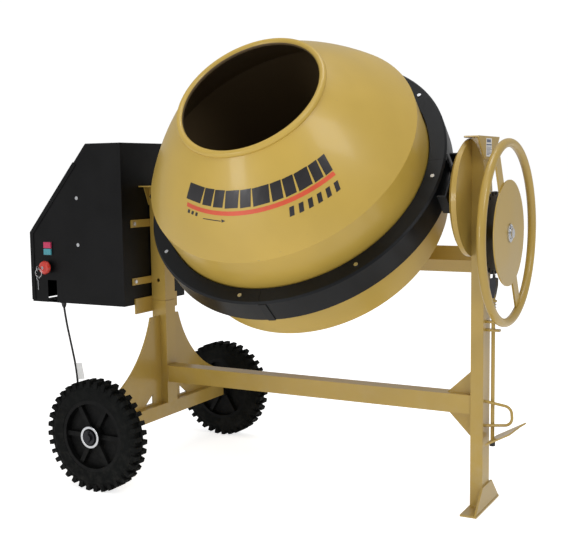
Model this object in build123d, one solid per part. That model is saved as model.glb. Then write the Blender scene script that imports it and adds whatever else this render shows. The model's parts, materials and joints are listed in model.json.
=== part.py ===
from build123d import *
import os
from math import acos, cos, hypot, pi, radians, sin, sqrt, tan

# Tilting-drum concrete mixer of about 400 litres, at rest with its drum in the mixing pose.
# Millimetres, +Z up. The sizes below are in a working frame: X = 0 is the drum's middle plane
# and X grows from the motor cabinet to the handwheel, Y = 0 holds the tilt axis with the
# machine's front at -Y, and Z = 0 is the ground. save() moves each piece so that the part's
# origin is the middle of its footprint. Places along the drum's own axis are called s and
# count from the tilt axis towards the mouth.

os.makedirs("parts", exist_ok=True)

# ---------------------------------------------------------------- driving sizes
SHEET = 2.0                   # cabinet sheet
TUBE_WALL = 3.0               # frame tubes
FIT = 0.05                    # radial clearance of a running or a seated round fit
GAP = 0.4                     # clearance between a moving piece and its neighbour

# drum
DRUM_LEAN = 48.7              # drum axis from the vertical at rest
DRUM_R = 457.0
DRUM_WALL = 3.0
MOUTH_R = 236.0
MOUTH_S = 483.0
MOUTH_LIP_R = 11.0
SHOULDER_S = 249.0
CONE_BULGE = 12.0
FLANGE_S = 68.0               # plane where the two shells and the ring gear meet
FLANGE_T = 4.0
LOWER_S = -137.0              # lower edge of the cylindrical band
BOTTOM_S = -277.0
BOTTOM_R = 300.0
GEAR_BOLTS = 12
SPINDLE_R = 17.5
SPINDLE_FLANGE_R = 82.0
SPINDLE_BOLTS = 6
SPINDLE_BOLT_R = 62.0
PADDLE_COUNT = 3
PADDLE_SIZE = (110.0, 6.0, 250.0)
PADDLE_R = 372.0
PADDLE_S = 40.0
PADDLE_LEAN = 32.0

# frame
TILT_Z = 982.0
COLUMN_X = -600.0             # middle of the left column and of the axle
COLUMN_W = 60.0
COLUMN_TOP = 1022.0
JOINT_Z = 600.0               # joint between the lower and the upper column
JOINT_LIP = 3.0
SPIGOT_WALL = 4.0
JOINT_BOLT_UP = 79.0          # joint bolt's hole above the joint
CAP_HALF = 88.0
CAP_T = 4.0
POST_X0 = 590.0               # drum side of the right post
POST_W = 40.0
POST_D = 70.0
POST_TOP = 1166.0
POST_CAP_HALF = 108.0
FOOT_T = 6.0
FOOT_HALF = 120.0
BEAM_Z = 303.0
BEAM_W = 60.0
GUSSET = 86.0
AXLE_BEAM_W = 50.0
AXLE_BEAM_HALF = 362.0
WING_T = 6.0
WING_TOP = 548.0
STRAP_HEIGHTS = ((878.0, 905.0), (670.0, 695.0))
STRAP_T = 5.0
STRAP_HALF = 141.0
STRAP_BOLT_Y = 128.0

# road wheels
WHEEL_R = 190.0
WHEEL_W = 64.0
WHEEL_FACE_Y = 439.0          # outer face of each wheel
RIM_R = 124.0
HUB_R = 30.0
HUB_OUT = 3.0                 # hub beyond the tyre's faces
AXLE_R = 12.0
AXLE_END = 458.0
LUGS = 36
LUG_H = 12.0

# motor cabinet
CABINET_X1 = -635.0
CABINET_W = 430.0
CABINET_HALF = 188.0
CABINET_Z0 = 598.0
CABINET_Z1 = 1180.0
KNEE_Z = 857.0                # where the slanted side meets the upright side
CABINET_TOP_W = 156.0
COVER_TOP_X = -848.0          # where the cover starts on the slanted side
COVER_LIP = 14.0
KNUCKLE_R = 6.0
HINGE_PIN_R = 3.0
FRONT_SCREWS = ((-837.0, 985.0), (-837.0, 815.0))
SWITCH_X = (-1001.0, -962.0)
SWITCH_Z = (773.0, 825.0)
BUTTON_OUT = 8.0
KNOB_X = -984.0
KNOB_Z = 729.0
KNOB_R = 25.0
SCREW_R = 3.0
BOLT_R = 4.0

# drive
SHAFT_R = 12.5
PINION_TEETH = 12
RING_TEETH = 130
RING_MODULE = 7.5
RING_FACE = 20.0              # length of the crown teeth
RING_RIM = 8.0                # plain rim outside the teeth, which holds the bolts
RING_BACKLASH = 1.6
BIG_PULLEY_R = 150.0
SMALL_PULLEY_R = 28.0
PULLEY_X = -760.0
PULLEY_W = 22.0
BELT_W = 13.0
BELT_T = 9.0
MOTOR_Z = 722.0
MOTOR_R = 70.0
FIN_H = 8.0
FINS = 24
MOTOR_LENGTH = 200.0
MOTOR_SHAFT_R = 9.5
MOUNT_BOLTS = ((-960.0, -70.0), (-960.0, 70.0), (-830.0, -70.0), (-830.0, 70.0))

# tilting gear
TILT_MODULE = 6.0
TILT_GEAR_TEETH = 26
TILT_PINION_TEETH = 10
TILT_GEAR_W = 13.0
TILT_BACKLASH = 0.9
GEAR_X0 = 571.0
COVER_R = 183.0
COVER_X0 = 565.0
COVER_WALL = 2.5
BACK_PLATE_T = 3.0

# trunnions and cradle
TRUNNION_R = 17.5
HOLLOW_R = 20.0
HOLLOW_BORE = 14.5
BUSH_WALL = 4.5
ARM_T = 10.0
ARM_W = 80.0
ARM_RIGHT_X = 545.0
ARM_LEFT_X = -558.0
ARM_TOP_S = 52.0
CHANNEL_S = -292.0
CHANNEL_W = 60.0
CHANNEL_D = 69.0
CHANNEL_T = 4.0
SPINDLE_BUSH_WALL = 4.0

# guard ring round the ring gear
GUARD_R = 516.0
GUARD_T = 4.0
GUARD_S0 = 32.0
GUARD_S1 = 123.0
GUARD_INNER_GAP = 5.0         # between the guard's inner edge and the drum
GUARD_SEAM = 276.0
GUARD_PARTS = 4
BRACKET_HALF = 88.0
BRACKET_T = 5.0

# handwheel and tilt lock
WHEEL_SHAFT_R = 15.0
WHEEL_RIM_X = 696.0
WHEEL_RIM_R = 275.0
WHEEL_RIM_TUBE = 13.5
WHEEL_DISC_R = 163.0
WHEEL_HOLE_R = 29.0
WHEEL_HUB_R = 22.0
BAR_LEAN = 27.0
BAR_W = 46.0
BAR_T = 6.0
LOCK_DISC_R = 128.0
LOCK_DISC_X = 648.0
LOCK_DISC_T = 8.0
LOCK_NOTCHES = 24
NOTCH_W = 13.0
NOTCH_DEPTH = 11.0
PAWL_GAP = 1.0
ROD_X = 651.0
ROD_R = 6.0
ROD_Z0 = 206.0
ROD_Z1 = 690.0
GUIDE_LUGS = ((567.0, 22.0), (593.0, 14.0))
LUG_T = 7.0
COLLAR_Z = 660.0
SPRING_WIRE_R = 1.1
SPRING_R = 8.4
SPRING_TURNS = 7
PEDAL_RISE = 29.0
PEDAL_Z = 218.0
PEDAL_HALF = 60.0
PEDAL_LENGTH = 104.0
PEDAL_T = 5.0
FOOT_GUARD_R = 4.5
FOOT_GUARD_Y = -13.0

# cord
CORD_R = 4.0
GLAND = (-949.0, -150.0)
GLAND_R = 9.0
GLAND_LENGTH = 23.0           # below the cabinet's floor
COIL_MIDDLE = (-690.0, -292.0)
COIL_R = 45.0
COIL_HALF_W = 9.0
CORD_POINTS = [(-949, -150, 575), (-941, -150, 522), (-928, -150, 466), (-915, -150, 411),
               (-903, -150, 356), (-896, -151, 302), (-891, -153, 248), (-886, -156, 194),
               (-878, -160, 141), (-864, -168, 91), (-842, -180, 47), (-812, -196, 18),
               (-780, -214, 7), (-754, -238, 5), (-738, -264.5, 5)]

# ---------------------------------------------------------------- derived places
POST_X1 = POST_X0 + POST_W
COLUMN_LEFT = COLUMN_X - COLUMN_W / 2
COLUMN_RIGHT = COLUMN_X + COLUMN_W / 2
AXLE_Z = WHEEL_R
AXLE_BEAM_Z = AXLE_Z - AXLE_BEAM_W / 2 + 7
AXLE_BEAM_TOP = AXLE_BEAM_Z + AXLE_BEAM_W
WHEEL_Y = WHEEL_FACE_Y - WHEEL_W / 2
BEAM_TOP = BEAM_Z + BEAM_W
JOINT_BOLT_Z = JOINT_Z + JOINT_BOLT_UP
CABINET_X0 = CABINET_X1 - CABINET_W
SLANT_TOP_X = CABINET_X1 - CABINET_TOP_W
SLANT_RISE = (CABINET_Z1 - KNEE_Z) / (SLANT_TOP_X - CABINET_X0)
SLANT_SIDE = hypot(1, SLANT_RISE)
HAND_Z = TILT_Z - TILT_MODULE * (TILT_GEAR_TEETH + TILT_PINION_TEETH) / 2
RING_R = RING_MODULE * RING_TEETH / 2
RING_R0 = RING_R - RING_FACE / 2
RING_R1 = RING_R + RING_FACE / 2 + RING_RIM
GEAR_BOLT_R = RING_R1 - 6.0
PINION_R = RING_MODULE * PINION_TEETH / 2
LEFT_BUSH_R = HOLLOW_R + BUSH_WALL
RIGHT_BUSH_R = TRUNNION_R + BUSH_WALL
HAND_BUSH_R = WHEEL_SHAFT_R + BUSH_WALL
HOUSING_BORE = SPINDLE_R + SPINDLE_BUSH_WALL
SPINDLE_TOP_S = BOTTOM_S - 8.0
CHANNEL_END_S = CHANNEL_S - CHANNEL_D
SPINDLE_END_S = CHANNEL_END_S - 16.0
GUARD_INNER = DRUM_R + GUARD_INNER_GAP
GUARD_SCREW_R = (GUARD_INNER + GUARD_R) / 2
TILT_SHAFT_X1 = LOCK_DISC_X - 4.5
HAND_SHAFT_X1 = WHEEL_RIM_X + 16.0
LOCK_Z = HAND_Z - LOCK_DISC_R
DRIVE_X0 = PULLEY_X - PULLEY_W / 2 - 6
DRIVE_X1 = -RING_R0 + 3
MOTOR_X1 = PULLEY_X - PULLEY_W / 2 - 14
MOTOR_X0 = MOTOR_X1 - MOTOR_LENGTH
MOTOR_FOOT_Z = MOTOR_Z - MOTOR_R - FIN_H - 8
COIL_H = 4 * CORD_R

X_LEFT = CABINET_X0 - GAP - SHEET
X_RIGHT = ROD_X + PEDAL_LENGTH * cos(radians(PEDAL_RISE))
MOUTH_REACH = MOUTH_S * sin(radians(DRUM_LEAN)) + MOUTH_R * cos(radians(DRUM_LEAN)) + MOUTH_LIP_R
SHIFT = (-(X_LEFT + X_RIGHT) / 2, -(AXLE_END - MOUTH_REACH) / 2, 0.0)


# ---------------------------------------------------------------- helpers
def save(name, *shapes):
    """Write one node, in the part's own frame."""
    solids = [solid for shape in shapes for solid in shape.solids()]
    node = solids[0] if len(solids) == 1 else Compound(children=solids)
    export_step(Pos(*SHIFT) * node, f"parts/{name}.step")


def block(x, y, z):
    """A box between two values on each axis."""
    middle = ((x[0] + x[1]) / 2, (y[0] + y[1]) / 2, (z[0] + z[1]) / 2)
    return Pos(*middle) * Box(x[1] - x[0], y[1] - y[0], z[1] - z[0])


def around(middle, width):
    return middle - width / 2, middle + width / 2


def bar_x(x0, x1, y, z, r):
    return Pos((x0 + x1) / 2, y, z) * Rot(0, 90, 0) * Cylinder(r, x1 - x0)


def bar_y(y0, y1, x, z, r):
    return Pos(x, (y0 + y1) / 2, z) * Rot(90, 0, 0) * Cylinder(r, y1 - y0)


def bar_z(z0, z1, x, y, r):
    return Pos(x, y, (z0 + z1) / 2) * Cylinder(r, z1 - z0)


def tube_x(x0, x1, y, z, r, bore):
    return bar_x(x0, x1, y, z, r) - bar_x(x0 - 1, x1 + 1, y, z, bore)


def tube_y(y0, y1, x, z, r, bore):
    return bar_y(y0, y1, x, z, r) - bar_y(y0 - 1, y1 + 1, x, z, bore)


def tube_z(z0, z1, x, y, r, bore):
    return bar_z(z0, z1, x, y, r) - bar_z(z0 - 1, z1 + 1, x, y, bore)


def plate_x(x0, x1, points):
    """A flat plate across X, its outline given as (y, z) points."""
    outline = make_face(Polyline(*points, close=True))
    return Pos(x0, 0, 0) * extrude(Plane.YZ * outline, x1 - x0)


def plate_y(y0, y1, points):
    """A flat plate across Y, its outline given as (x, z) points."""
    outline = make_face(Polyline(*points, close=True))
    return Pos(0, y1, 0) * extrude(Plane.XZ * outline, y1 - y0)


def turned(*points):
    """A body of revolution about Z from an outline of (radius, z) points."""
    return revolve(Plane.XZ * make_face(Polyline(*points, close=True)), Axis.Z)


def mirrored_y(shape):
    return mirror(shape, about=Plane.XZ)


def along_x(x, z, shape):
    """Lay a piece made about Z along X, at Y = 0."""
    return Pos(x, 0, z) * Rot(0, 90, 0) * shape


def on_drum(shape):
    """Place a piece made about Z into the drum's rest pose on the tilt axis."""
    return Pos(0, 0, TILT_Z) * Rot(DRUM_LEAN, 0, 0) * shape


def hex_bolt(r, length):
    """Bolt along Z: its head stands on Z = 0 and its shank goes down."""
    head = extrude(RegularPolygon(1.8 * r, 6), 1.3 * r)
    return head + bar_z(-length, 0.01, 0, 0, r)


def round_screw(r, length):
    """Round-headed screw along Z, with its head on Z = 0."""
    return bar_z(0, r, 0, 0, 2.2 * r) + bar_z(-length, 0.01, 0, 0, r)


def ring_of(count, radius, shape, start=0.0):
    """Copies of a piece on a circle about Z."""
    step = 360 / count
    return [Rot(0, 0, start + step * i) * Pos(radius, 0, 0) * shape for i in range(count)]


def drilled(shape, holes):
    for hole in holes:
        shape -= hole
    return shape


def split_pin(x, y, z, half, across):
    """Split pin along Z: a thin bar with a ring at its top end, flat across an axis."""
    turn = Rot(0, 90, 0) if across == "x" else Rot(90, 0, 0)
    eye = Pos(x, y, z + half + 3) * turn * Torus(3.2, 1.2)
    return bar_z(z - half, z + half, x, y, PIN_R) + eye


PIN_R = 1.6


def involute_gear(teeth, module, width, backlash, addendum, dedendum, pressure):
    """Spur gear about Z with involute flanks, standing on Z = 0. It has a tooth on +X."""
    pitch = module * teeth / 2
    angle = radians(pressure)
    base = pitch * cos(angle)
    tip = pitch + addendum * module
    root = pitch - dedendum * module
    half = (pi * module / 2 - backlash) / (2 * pitch) + tan(angle) - angle

    def flank(radius):
        roll = acos(min(1.0, base / radius))
        return half - (tan(roll) - roll)

    start = max(base, root)
    radii = [start + (tip - start) * i / 4 for i in range(5)]
    side = [(r, flank(r)) for r in radii]
    if root < base:
        side.insert(0, (root, half))
    points = []
    for tooth in range(teeth):
        middle = 2 * pi * tooth / teeth
        rising = [(r, middle - a) for r, a in side]
        falling = [(r, middle + a) for r, a in reversed(side)]
        points += [(r * cos(a), r * sin(a)) for r, a in rising + falling]
    return extrude(make_face(Polyline(*points, close=True)), width)


# ---------------------------------------------------------------- frame
def axle_beam():
    """Square tube across the machine with a plate in each end that carries the axle."""
    end = AXLE_BEAM_HALF
    hole = AXLE_BEAM_W - 2 * TUBE_WALL
    middle = AXLE_BEAM_Z + AXLE_BEAM_W / 2
    tube = block(around(COLUMN_X, AXLE_BEAM_W), (-end, end), (AXLE_BEAM_Z, AXLE_BEAM_TOP))
    tube -= block(around(COLUMN_X, hole), (8 - end, end - 8), around(middle, hole))
    return tube - bar_y(-end - 1, end + 1, COLUMN_X, AXLE_Z, AXLE_R + FIT)


def column_tube(z0, z1):
    hole = COLUMN_W - 2 * TUBE_WALL
    outer = block(around(COLUMN_X, COLUMN_W), around(0, COLUMN_W), (z0, z1))
    return outer - block(around(COLUMN_X, hole), around(0, hole), (z0 - 1, z1 + 1))


def joint_flange(z0, z1):
    """Lip round three sides of the column's joint; the cabinet's side stays flush."""
    lip = COLUMN_W + 2 * JOINT_LIP
    outer = block((COLUMN_LEFT, COLUMN_RIGHT + JOINT_LIP), around(0, lip), (z0, z1))
    return outer - block(around(COLUMN_X, COLUMN_W - 1), around(0, COLUMN_W - 1), (z0 - 1, z1 + 1))


def lower_column():
    return column_tube(AXLE_BEAM_TOP, JOINT_Z) + joint_flange(JOINT_Z - 5, JOINT_Z)


def upper_column():
    """Upper column with its cap, the pivot's hole and the hole for the joint bolt."""
    column = column_tube(JOINT_Z, COLUMN_TOP) + joint_flange(JOINT_Z, JOINT_Z + 4)
    left = COLUMN_LEFT - CAP_T
    column += block((left, COLUMN_RIGHT + CAP_T), (-CAP_HALF, CAP_HALF), (COLUMN_TOP, COLUMN_TOP + CAP_T))
    low = COLUMN_TOP - 66
    column += plate_x(left, COLUMN_LEFT, [(-60, COLUMN_TOP), (60, COLUMN_TOP), (32, low), (-32, low)])
    column -= bar_x(left - 1, COLUMN_RIGHT + 1, 0, TILT_Z, LEFT_BUSH_R + FIT)
    return column - joint_bolt_hole()


def joint_bolt_hole():
    return bar_y(-COLUMN_W, COLUMN_W, COLUMN_X, JOINT_BOLT_Z, 7)


def column_spigot():
    """Inner tube that joins the two halves of the column, with the cross hole of its bolt."""
    width = COLUMN_W - 2 * TUBE_WALL - 2 * FIT
    inner = width - 2 * SPIGOT_WALL
    z0, z1 = JOINT_Z - 80, JOINT_BOLT_Z + 31
    tube = block(around(COLUMN_X, width), around(0, width), (z0, z1))
    tube -= block(around(COLUMN_X, inner), around(0, inner), (z0 - 1, z1 + 1))
    return tube - joint_bolt_hole()


def column_wing():
    """Flared sheet wing from the column down to the end of the axle beam, with its cut-out."""
    x0 = COLUMN_X - WING_T / 2
    inner, reach, bottom = COLUMN_W / 2, AXLE_BEAM_HALF - 6, AXLE_BEAM_TOP
    top, end = (inner + 58, WING_TOP), (reach, bottom + 62)
    middle = (inner + 132, (top[1] + end[1]) / 2 - 4)
    flare = ThreePointArc(top, middle, end)
    rest = Polyline(end, (reach, bottom), (inner, bottom), (inner, WING_TOP), top)
    wing = Pos(x0, 0, 0) * extrude(Plane.YZ * make_face([flare, rest]), WING_T)
    window = [(inner + 55, bottom + 44), (inner + 55, bottom + 6), (inner + 104, bottom + 6)]
    return wing - plate_x(x0 - 1, x0 + WING_T + 1, window)


def main_beam():
    hole = BEAM_W - 2 * TUBE_WALL
    middle = BEAM_Z + BEAM_W / 2
    beam = block((COLUMN_RIGHT, POST_X0), around(0, BEAM_W), (BEAM_Z, BEAM_TOP))
    return beam - block((COLUMN_RIGHT - 1, POST_X0 + 1), around(0, hole), around(middle, hole))


def beam_gussets():
    """Triangular corner plates above and below the main beam at the post."""
    x = POST_X0
    upper = plate_y(-3, 3, [(x, BEAM_TOP), (x - GUSSET, BEAM_TOP), (x, BEAM_TOP + GUSSET - 6)])
    lower = plate_y(-3, 3, [(x, BEAM_Z), (x - GUSSET, BEAM_Z), (x, BEAM_Z - GUSSET - 2)])
    return upper, lower


def right_post():
    """Post with its foot, brace plate, the two guide lugs of the pedal's rod and the pivot holes."""
    hole = POST_D - 2 * TUBE_WALL
    post = block((POST_X0, POST_X1), around(0, POST_D), (FOOT_T, POST_TOP))
    inner = (POST_X0 + TUBE_WALL, POST_X1 - TUBE_WALL)
    post -= block(inner, around(0, hole), (FOOT_T, POST_TOP + 1))
    post += block((POST_X0 - 5, POST_X1 + 8), (-FOOT_HALF, FOOT_HALF), (0, FOOT_T))
    half = POST_D / 2 + 13
    brace = [(-FOOT_HALF, FOOT_T), (FOOT_HALF, FOOT_T), (half, 76), (-half, 76)]
    post += plate_x(POST_X1, POST_X1 + 6, brace)
    for z, reach in GUIDE_LUGS:
        post += block((POST_X1, ROD_X + reach), (-9, 9), (z, z + LUG_T))
        post -= bar_z(z - 1, z + LUG_T + 1, ROD_X, 0, ROD_R + FIT)
    post -= bar_x(POST_X0 - 2, POST_X1 + 2, 0, TILT_Z, RIGHT_BUSH_R + FIT)
    return post - bar_x(POST_X0 - 2, POST_X1 + 2, 0, HAND_Z, HAND_BUSH_R + FIT)


def post_cap():
    """Flat cap over the post and the gear cover, folded down into a trapezoid plate."""
    x1, half = POST_X1 + CAP_T, POST_CAP_HALF
    corners = [(COVER_X0 - 2, -30), (COVER_X0 - 2, 30), (POST_X0, half)]
    corners += [(x1, half), (x1, -half), (POST_X0, -half)]
    cap = Pos(0, 0, POST_TOP) * extrude(make_face(Polyline(*corners, close=True)), CAP_T)
    low = POST_TOP - 66
    return cap + plate_x(POST_X1, x1, [(-half, POST_TOP), (half, POST_TOP), (46, low), (-46, low)])


def cabinet_straps():
    """Two flat straps and a wide foot plate on the column that carry the cabinet."""
    x0, x1 = COLUMN_LEFT - STRAP_T, COLUMN_LEFT
    straps = [block((x0, x1), (-130, 130), (JOINT_Z - 36, JOINT_Z + 20))]
    for z in STRAP_HEIGHTS:
        strap = block((x0, x1), (-STRAP_HALF, STRAP_HALF), z)
        straps.append(drilled(strap, strap_holes(x0, x1)))
    return straps


def strap_holes(x0, x1):
    places = [(y, sum(z) / 2) for z in STRAP_HEIGHTS for y in (-STRAP_BOLT_Y, STRAP_BOLT_Y)]
    return [bar_x(x0 - 1, x1 + 1, y, z, BOLT_R + FIT) for y, z in places]


def cabinet_bolts():
    """Bolts through the straps and, from below, into the motor's tray."""
    bolts = []
    for z in STRAP_HEIGHTS:
        for y in (-STRAP_BOLT_Y, STRAP_BOLT_Y):
            bolts.append(Pos(COLUMN_LEFT, y, sum(z) / 2) * Rot(0, 90, 0) * hex_bolt(BOLT_R, 16))
    for x, y in MOUNT_BOLTS:
        bolts.append(Pos(x, y, CABINET_Z0) * Rot(180, 0, 0) * hex_bolt(BOLT_R, 14))
    return bolts


def frame_bushes():
    """Bushes of the hollow trunnion, the solid trunnion and the handwheel's shaft."""
    left = tube_x(COLUMN_LEFT - CAP_T, COLUMN_RIGHT + 3, 0, TILT_Z, LEFT_BUSH_R, HOLLOW_R + FIT)
    x0, x1 = POST_X0 - BACK_PLATE_T + 0.5, POST_X1 + 3
    right = tube_x(x0, x1, 0, TILT_Z, RIGHT_BUSH_R, TRUNNION_R + FIT)
    hand = tube_x(x0, x1, 0, HAND_Z, HAND_BUSH_R, WHEEL_SHAFT_R + FIT)
    return left, right, hand


def tilt_gear_cover():
    """Round pan over the tilt gear, with a slanted shoulder and a hole for the trunnion."""
    depth, wall = POST_X0 - BACK_PLATE_T - COVER_X0, COVER_WALL
    pan = turned((0, 0), (COVER_R - 14, 0), (COVER_R, 10), (COVER_R, depth), (COVER_R - wall, depth),
                 (COVER_R - wall, 11), (COVER_R - 15, wall), (0, wall))
    return along_x(COVER_X0, TILT_Z, pan - Cylinder(TRUNNION_R + 2, 20))


def gear_back_plate():
    """Round plate on the post's inner face that closes the gear cover."""
    x0, x1 = POST_X0 - BACK_PLATE_T, POST_X0
    plate = tube_x(x0, x1, 0, TILT_Z, COVER_R, RIGHT_BUSH_R + FIT)
    return plate - bar_x(x0 - 1, x1 + 1, 0, HAND_Z, HAND_BUSH_R + FIT)


def foot_guard():
    """D-shaped bent rod beside the pedal's rod."""
    points = [(POST_X1, 346), (POST_X1 + 84, 334), (POST_X1 + 88, 278), (POST_X1, 268)]
    path = FilletPolyline(*[(x, FOOT_GUARD_Y, z) for x, z in points], radius=25)
    loop = sweep(Plane(origin=path @ 0, z_dir=path % 0) * Circle(FOOT_GUARD_R), path)
    return loop - block((POST_X1 - 20, POST_X1), (-40, 40), (240, 370))


# ---------------------------------------------------------------- road wheels
def wheel_tyre():
    """Solid tyre about Z with two staggered rows of lugs."""
    body, half = WHEEL_R - LUG_H, WHEEL_W / 2
    tyre = turned((RIM_R, 4 - half), (body - 22, -half), (body, 10 - half), (body, half - 10),
                  (body - 22, half), (RIM_R, half - 4))
    for row in (-1, 1):
        lug = Pos(0, 0, row * (half / 2 - 1)) * Box(LUG_H + 14, 15, half - 4)
        tyre += ring_of(LUGS, body + 1, lug, start=90 + row * 90 / LUGS)
    return tyre & Cylinder(WHEEL_R, WHEEL_W)


def wheel_rim():
    """Moulded wheel centre about Z: outer ring, thin web, six spokes and a long hub."""
    ring = Cylinder(RIM_R - FIT, WHEEL_W - 10) - Cylinder(RIM_R - 13, WHEEL_W)
    rim = ring + Cylinder(RIM_R - 12, 8) + Cylinder(HUB_R, WHEEL_W + 2 * HUB_OUT)
    spoke = Box(RIM_R - HUB_R - 6, 16, WHEEL_W - 26)
    rim += ring_of(6, (RIM_R + HUB_R) / 2 - 5, spoke)
    return rim - Cylinder(AXLE_R + FIT, 3 * WHEEL_W)


def on_axle(shape, side):
    """Place a wheel piece made about Z on one end of the axle."""
    return Pos(COLUMN_X, side * WHEEL_Y, AXLE_Z) * Rot(90, 0, 0) * shape


def axle_washers():
    """Spacer behind each wheel, and the washer and split pin that hold it on."""
    hub = WHEEL_W / 2 + HUB_OUT
    pieces = []
    for side in (-1, 1):
        y0, y1 = sorted((side * AXLE_BEAM_HALF, side * (WHEEL_Y - hub - GAP)))
        pieces.append(tube_y(y0, y1, COLUMN_X, AXLE_Z, 20, AXLE_R + FIT))
        y0, y1 = sorted((side * (WHEEL_Y + hub + GAP), side * (AXLE_END - 8)))
        pieces.append(tube_y(y0, y1, COLUMN_X, AXLE_Z, 24, AXLE_R + FIT))
        pieces.append(split_pin(COLUMN_X, side * (AXLE_END - 6), AXLE_Z, AXLE_R + 5, "y"))
    return pieces


def axle_bar():
    bar = bar_y(-AXLE_END, AXLE_END, COLUMN_X, AXLE_Z, AXLE_R)
    for side in (-1, 1):
        bar -= bar_z(AXLE_Z - 20, AXLE_Z + 20, COLUMN_X, side * (AXLE_END - 6), PIN_R + FIT)
    return bar


# ---------------------------------------------------------------- motor cabinet
def slant(along, out):
    """A point in X and Z from the cover's top end: up the slanted side, and out from it."""
    x = COVER_TOP_X + (along - out * SLANT_RISE) / SLANT_SIDE
    z = KNEE_Z + (COVER_TOP_X - CABINET_X0) * SLANT_RISE + (along * SLANT_RISE + out) / SLANT_SIDE
    return x, z


HINGE = slant(8.0, KNUCKLE_R + 2 * GAP)


def cabinet_outline(inset=0.0):
    """Outline of the cabinet in X and Z, moved inwards by an inset."""
    knee = KNEE_Z + inset * (SLANT_RISE - SLANT_SIDE)
    corner = SLANT_TOP_X + inset * (SLANT_SIDE - 1) / SLANT_RISE
    x0, x1 = CABINET_X0 + inset, CABINET_X1 - inset
    z0, z1 = CABINET_Z0 + inset, CABINET_Z1 - inset
    return [(x1, z0), (x1, z1), (corner, z1), (x0, knee), (x0, z0)]


def cabinet_body():
    """Folded sheet casing, open on the side that the cover closes."""
    half, inner = CABINET_HALF, CABINET_HALF - SHEET
    body = plate_y(-half, half, cabinet_outline())
    body -= plate_y(-inner, inner, cabinet_outline(SHEET))
    knee = cabinet_outline(SHEET)[3]
    cut = [(CABINET_X0 - 5, knee[1]), (CABINET_X0 - 5, CABINET_Z0 + SHEET), (knee[0], CABINET_Z0 + SHEET)]
    cut += [knee, slant(0, -SHEET), slant(0, 9)]
    body -= plate_y(-inner, inner, cut)
    for y in (-120, 120):
        body += hinge_knuckle(y - 20, y + 20, [slant(2, -1), slant(2, 3), slant(14, 3), slant(14, -1)])
    wall = (CABINET_X1 - SHEET, CABINET_X1)
    body -= bar_x(wall[0] - 1, wall[1] + 1, 0, TILT_Z, LEFT_BUSH_R + 3)
    body = drilled(body, strap_holes(*wall))
    front = (-half - 1, 1 - inner)
    body -= block((-990, -947), front, (CABINET_Z0 - 1, 681))
    body -= block(SWITCH_X, front, SWITCH_Z)
    body -= bar_y(*front, KNOB_X, KNOB_Z, COLLAR_R + FIT)
    body = drilled(body, [bar_y(*front, x, z, SCREW_R + FIT) for x, z in FRONT_SCREWS])
    floor = (CABINET_Z0 - 1, CABINET_Z0 + SHEET + 1)
    body -= bar_z(*floor, *GLAND, GLAND_R + FIT)
    return drilled(body, [bar_z(*floor, x, y, BOLT_R + FIT) for x, y in MOUNT_BOLTS])


COLLAR_R = 11.0


def hinge_knuckle(y0, y1, leaf):
    """One knuckle of the cover's hinge with the leaf that carries it."""
    knuckle = plate_y(y0, y1, leaf) + bar_y(y0, y1, *HINGE, KNUCKLE_R)
    return knuckle - bar_y(y0 - 1, y1 + 1, *HINGE, HINGE_PIN_R + FIT)


def cabinet_cover():
    """Hinged cover: slanted and upright sheet with a lip folded round the front and the back."""
    out = GAP + SHEET
    knee_out = (CABINET_X0 - out, KNEE_Z + out * (SLANT_SIDE - SLANT_RISE))
    knee_in = (CABINET_X0 - GAP, KNEE_Z + GAP * (SLANT_SIDE - SLANT_RISE))
    low = CABINET_Z0 + 6
    half = CABINET_HALF + out
    cover = plate_y(-half, half, [(CABINET_X0 - out, low), knee_out, slant(0, out), slant(0, GAP),
                                  knee_in, (CABINET_X0 - GAP, low)])
    knee_lip = (CABINET_X0 + COVER_LIP, KNEE_Z - COVER_LIP * (SLANT_SIDE - SLANT_RISE))
    lip = [(CABINET_X0 - GAP, low), (CABINET_X0 + COVER_LIP, low), knee_lip]
    lip += [slant(0, -COVER_LIP), slant(0, GAP), knee_in]
    cover += plate_y(-half, SHEET - half, lip)
    cover += plate_y(half - SHEET, half, lip)
    leaf = [slant(-6, GAP), slant(-6, out), slant(8, out), slant(8, GAP)]
    for y in (-79, 79):
        cover += hinge_knuckle(y - 20, y + 20, leaf)
    return cover


def cover_hinge_pin():
    return bar_y(-142, 142, *HINGE, HINGE_PIN_R)


def cabinet_screws():
    """Round-headed screws in the front panel."""
    screw = Rot(90, 0, 0) * round_screw(SCREW_R, 12)
    return [Pos(x, -CABINET_HALF, z) * screw for x, z in FRONT_SCREWS]


# ---------------------------------------------------------------- switches
def button_wells():
    """Heights of the two push-buttons' wells, lower one first."""
    middle = sum(SWITCH_Z) / 2
    return (SWITCH_Z[0] + 2, middle - 0.75), (middle + 0.75, SWITCH_Z[1] - 2)


def switch_box():
    """Switch body behind the front panel, with a well for each push-button."""
    y0 = -CABINET_HALF - 2
    x, z = (SWITCH_X[0] + FIT, SWITCH_X[1] - FIT), (SWITCH_Z[0] + FIT, SWITCH_Z[1] - FIT)
    box = block(x, (y0, y0 + 44), z)
    for well in button_wells():
        box -= block((SWITCH_X[0] + 2, SWITCH_X[1] - 2), (y0 - 1, y0 + 24), well)
    return box


def push_button(well):
    """Rectangular push-button that slides in its well."""
    y0 = -CABINET_HALF - BUTTON_OUT
    x = (SWITCH_X[0] + 2.3, SWITCH_X[1] - 2.3)
    button = block(x, (y0, y0 + 22), (well[0] + 0.3, well[1] - 0.3))
    return fillet(button.edges().group_by(Axis.Y)[0], 1.5)


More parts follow.
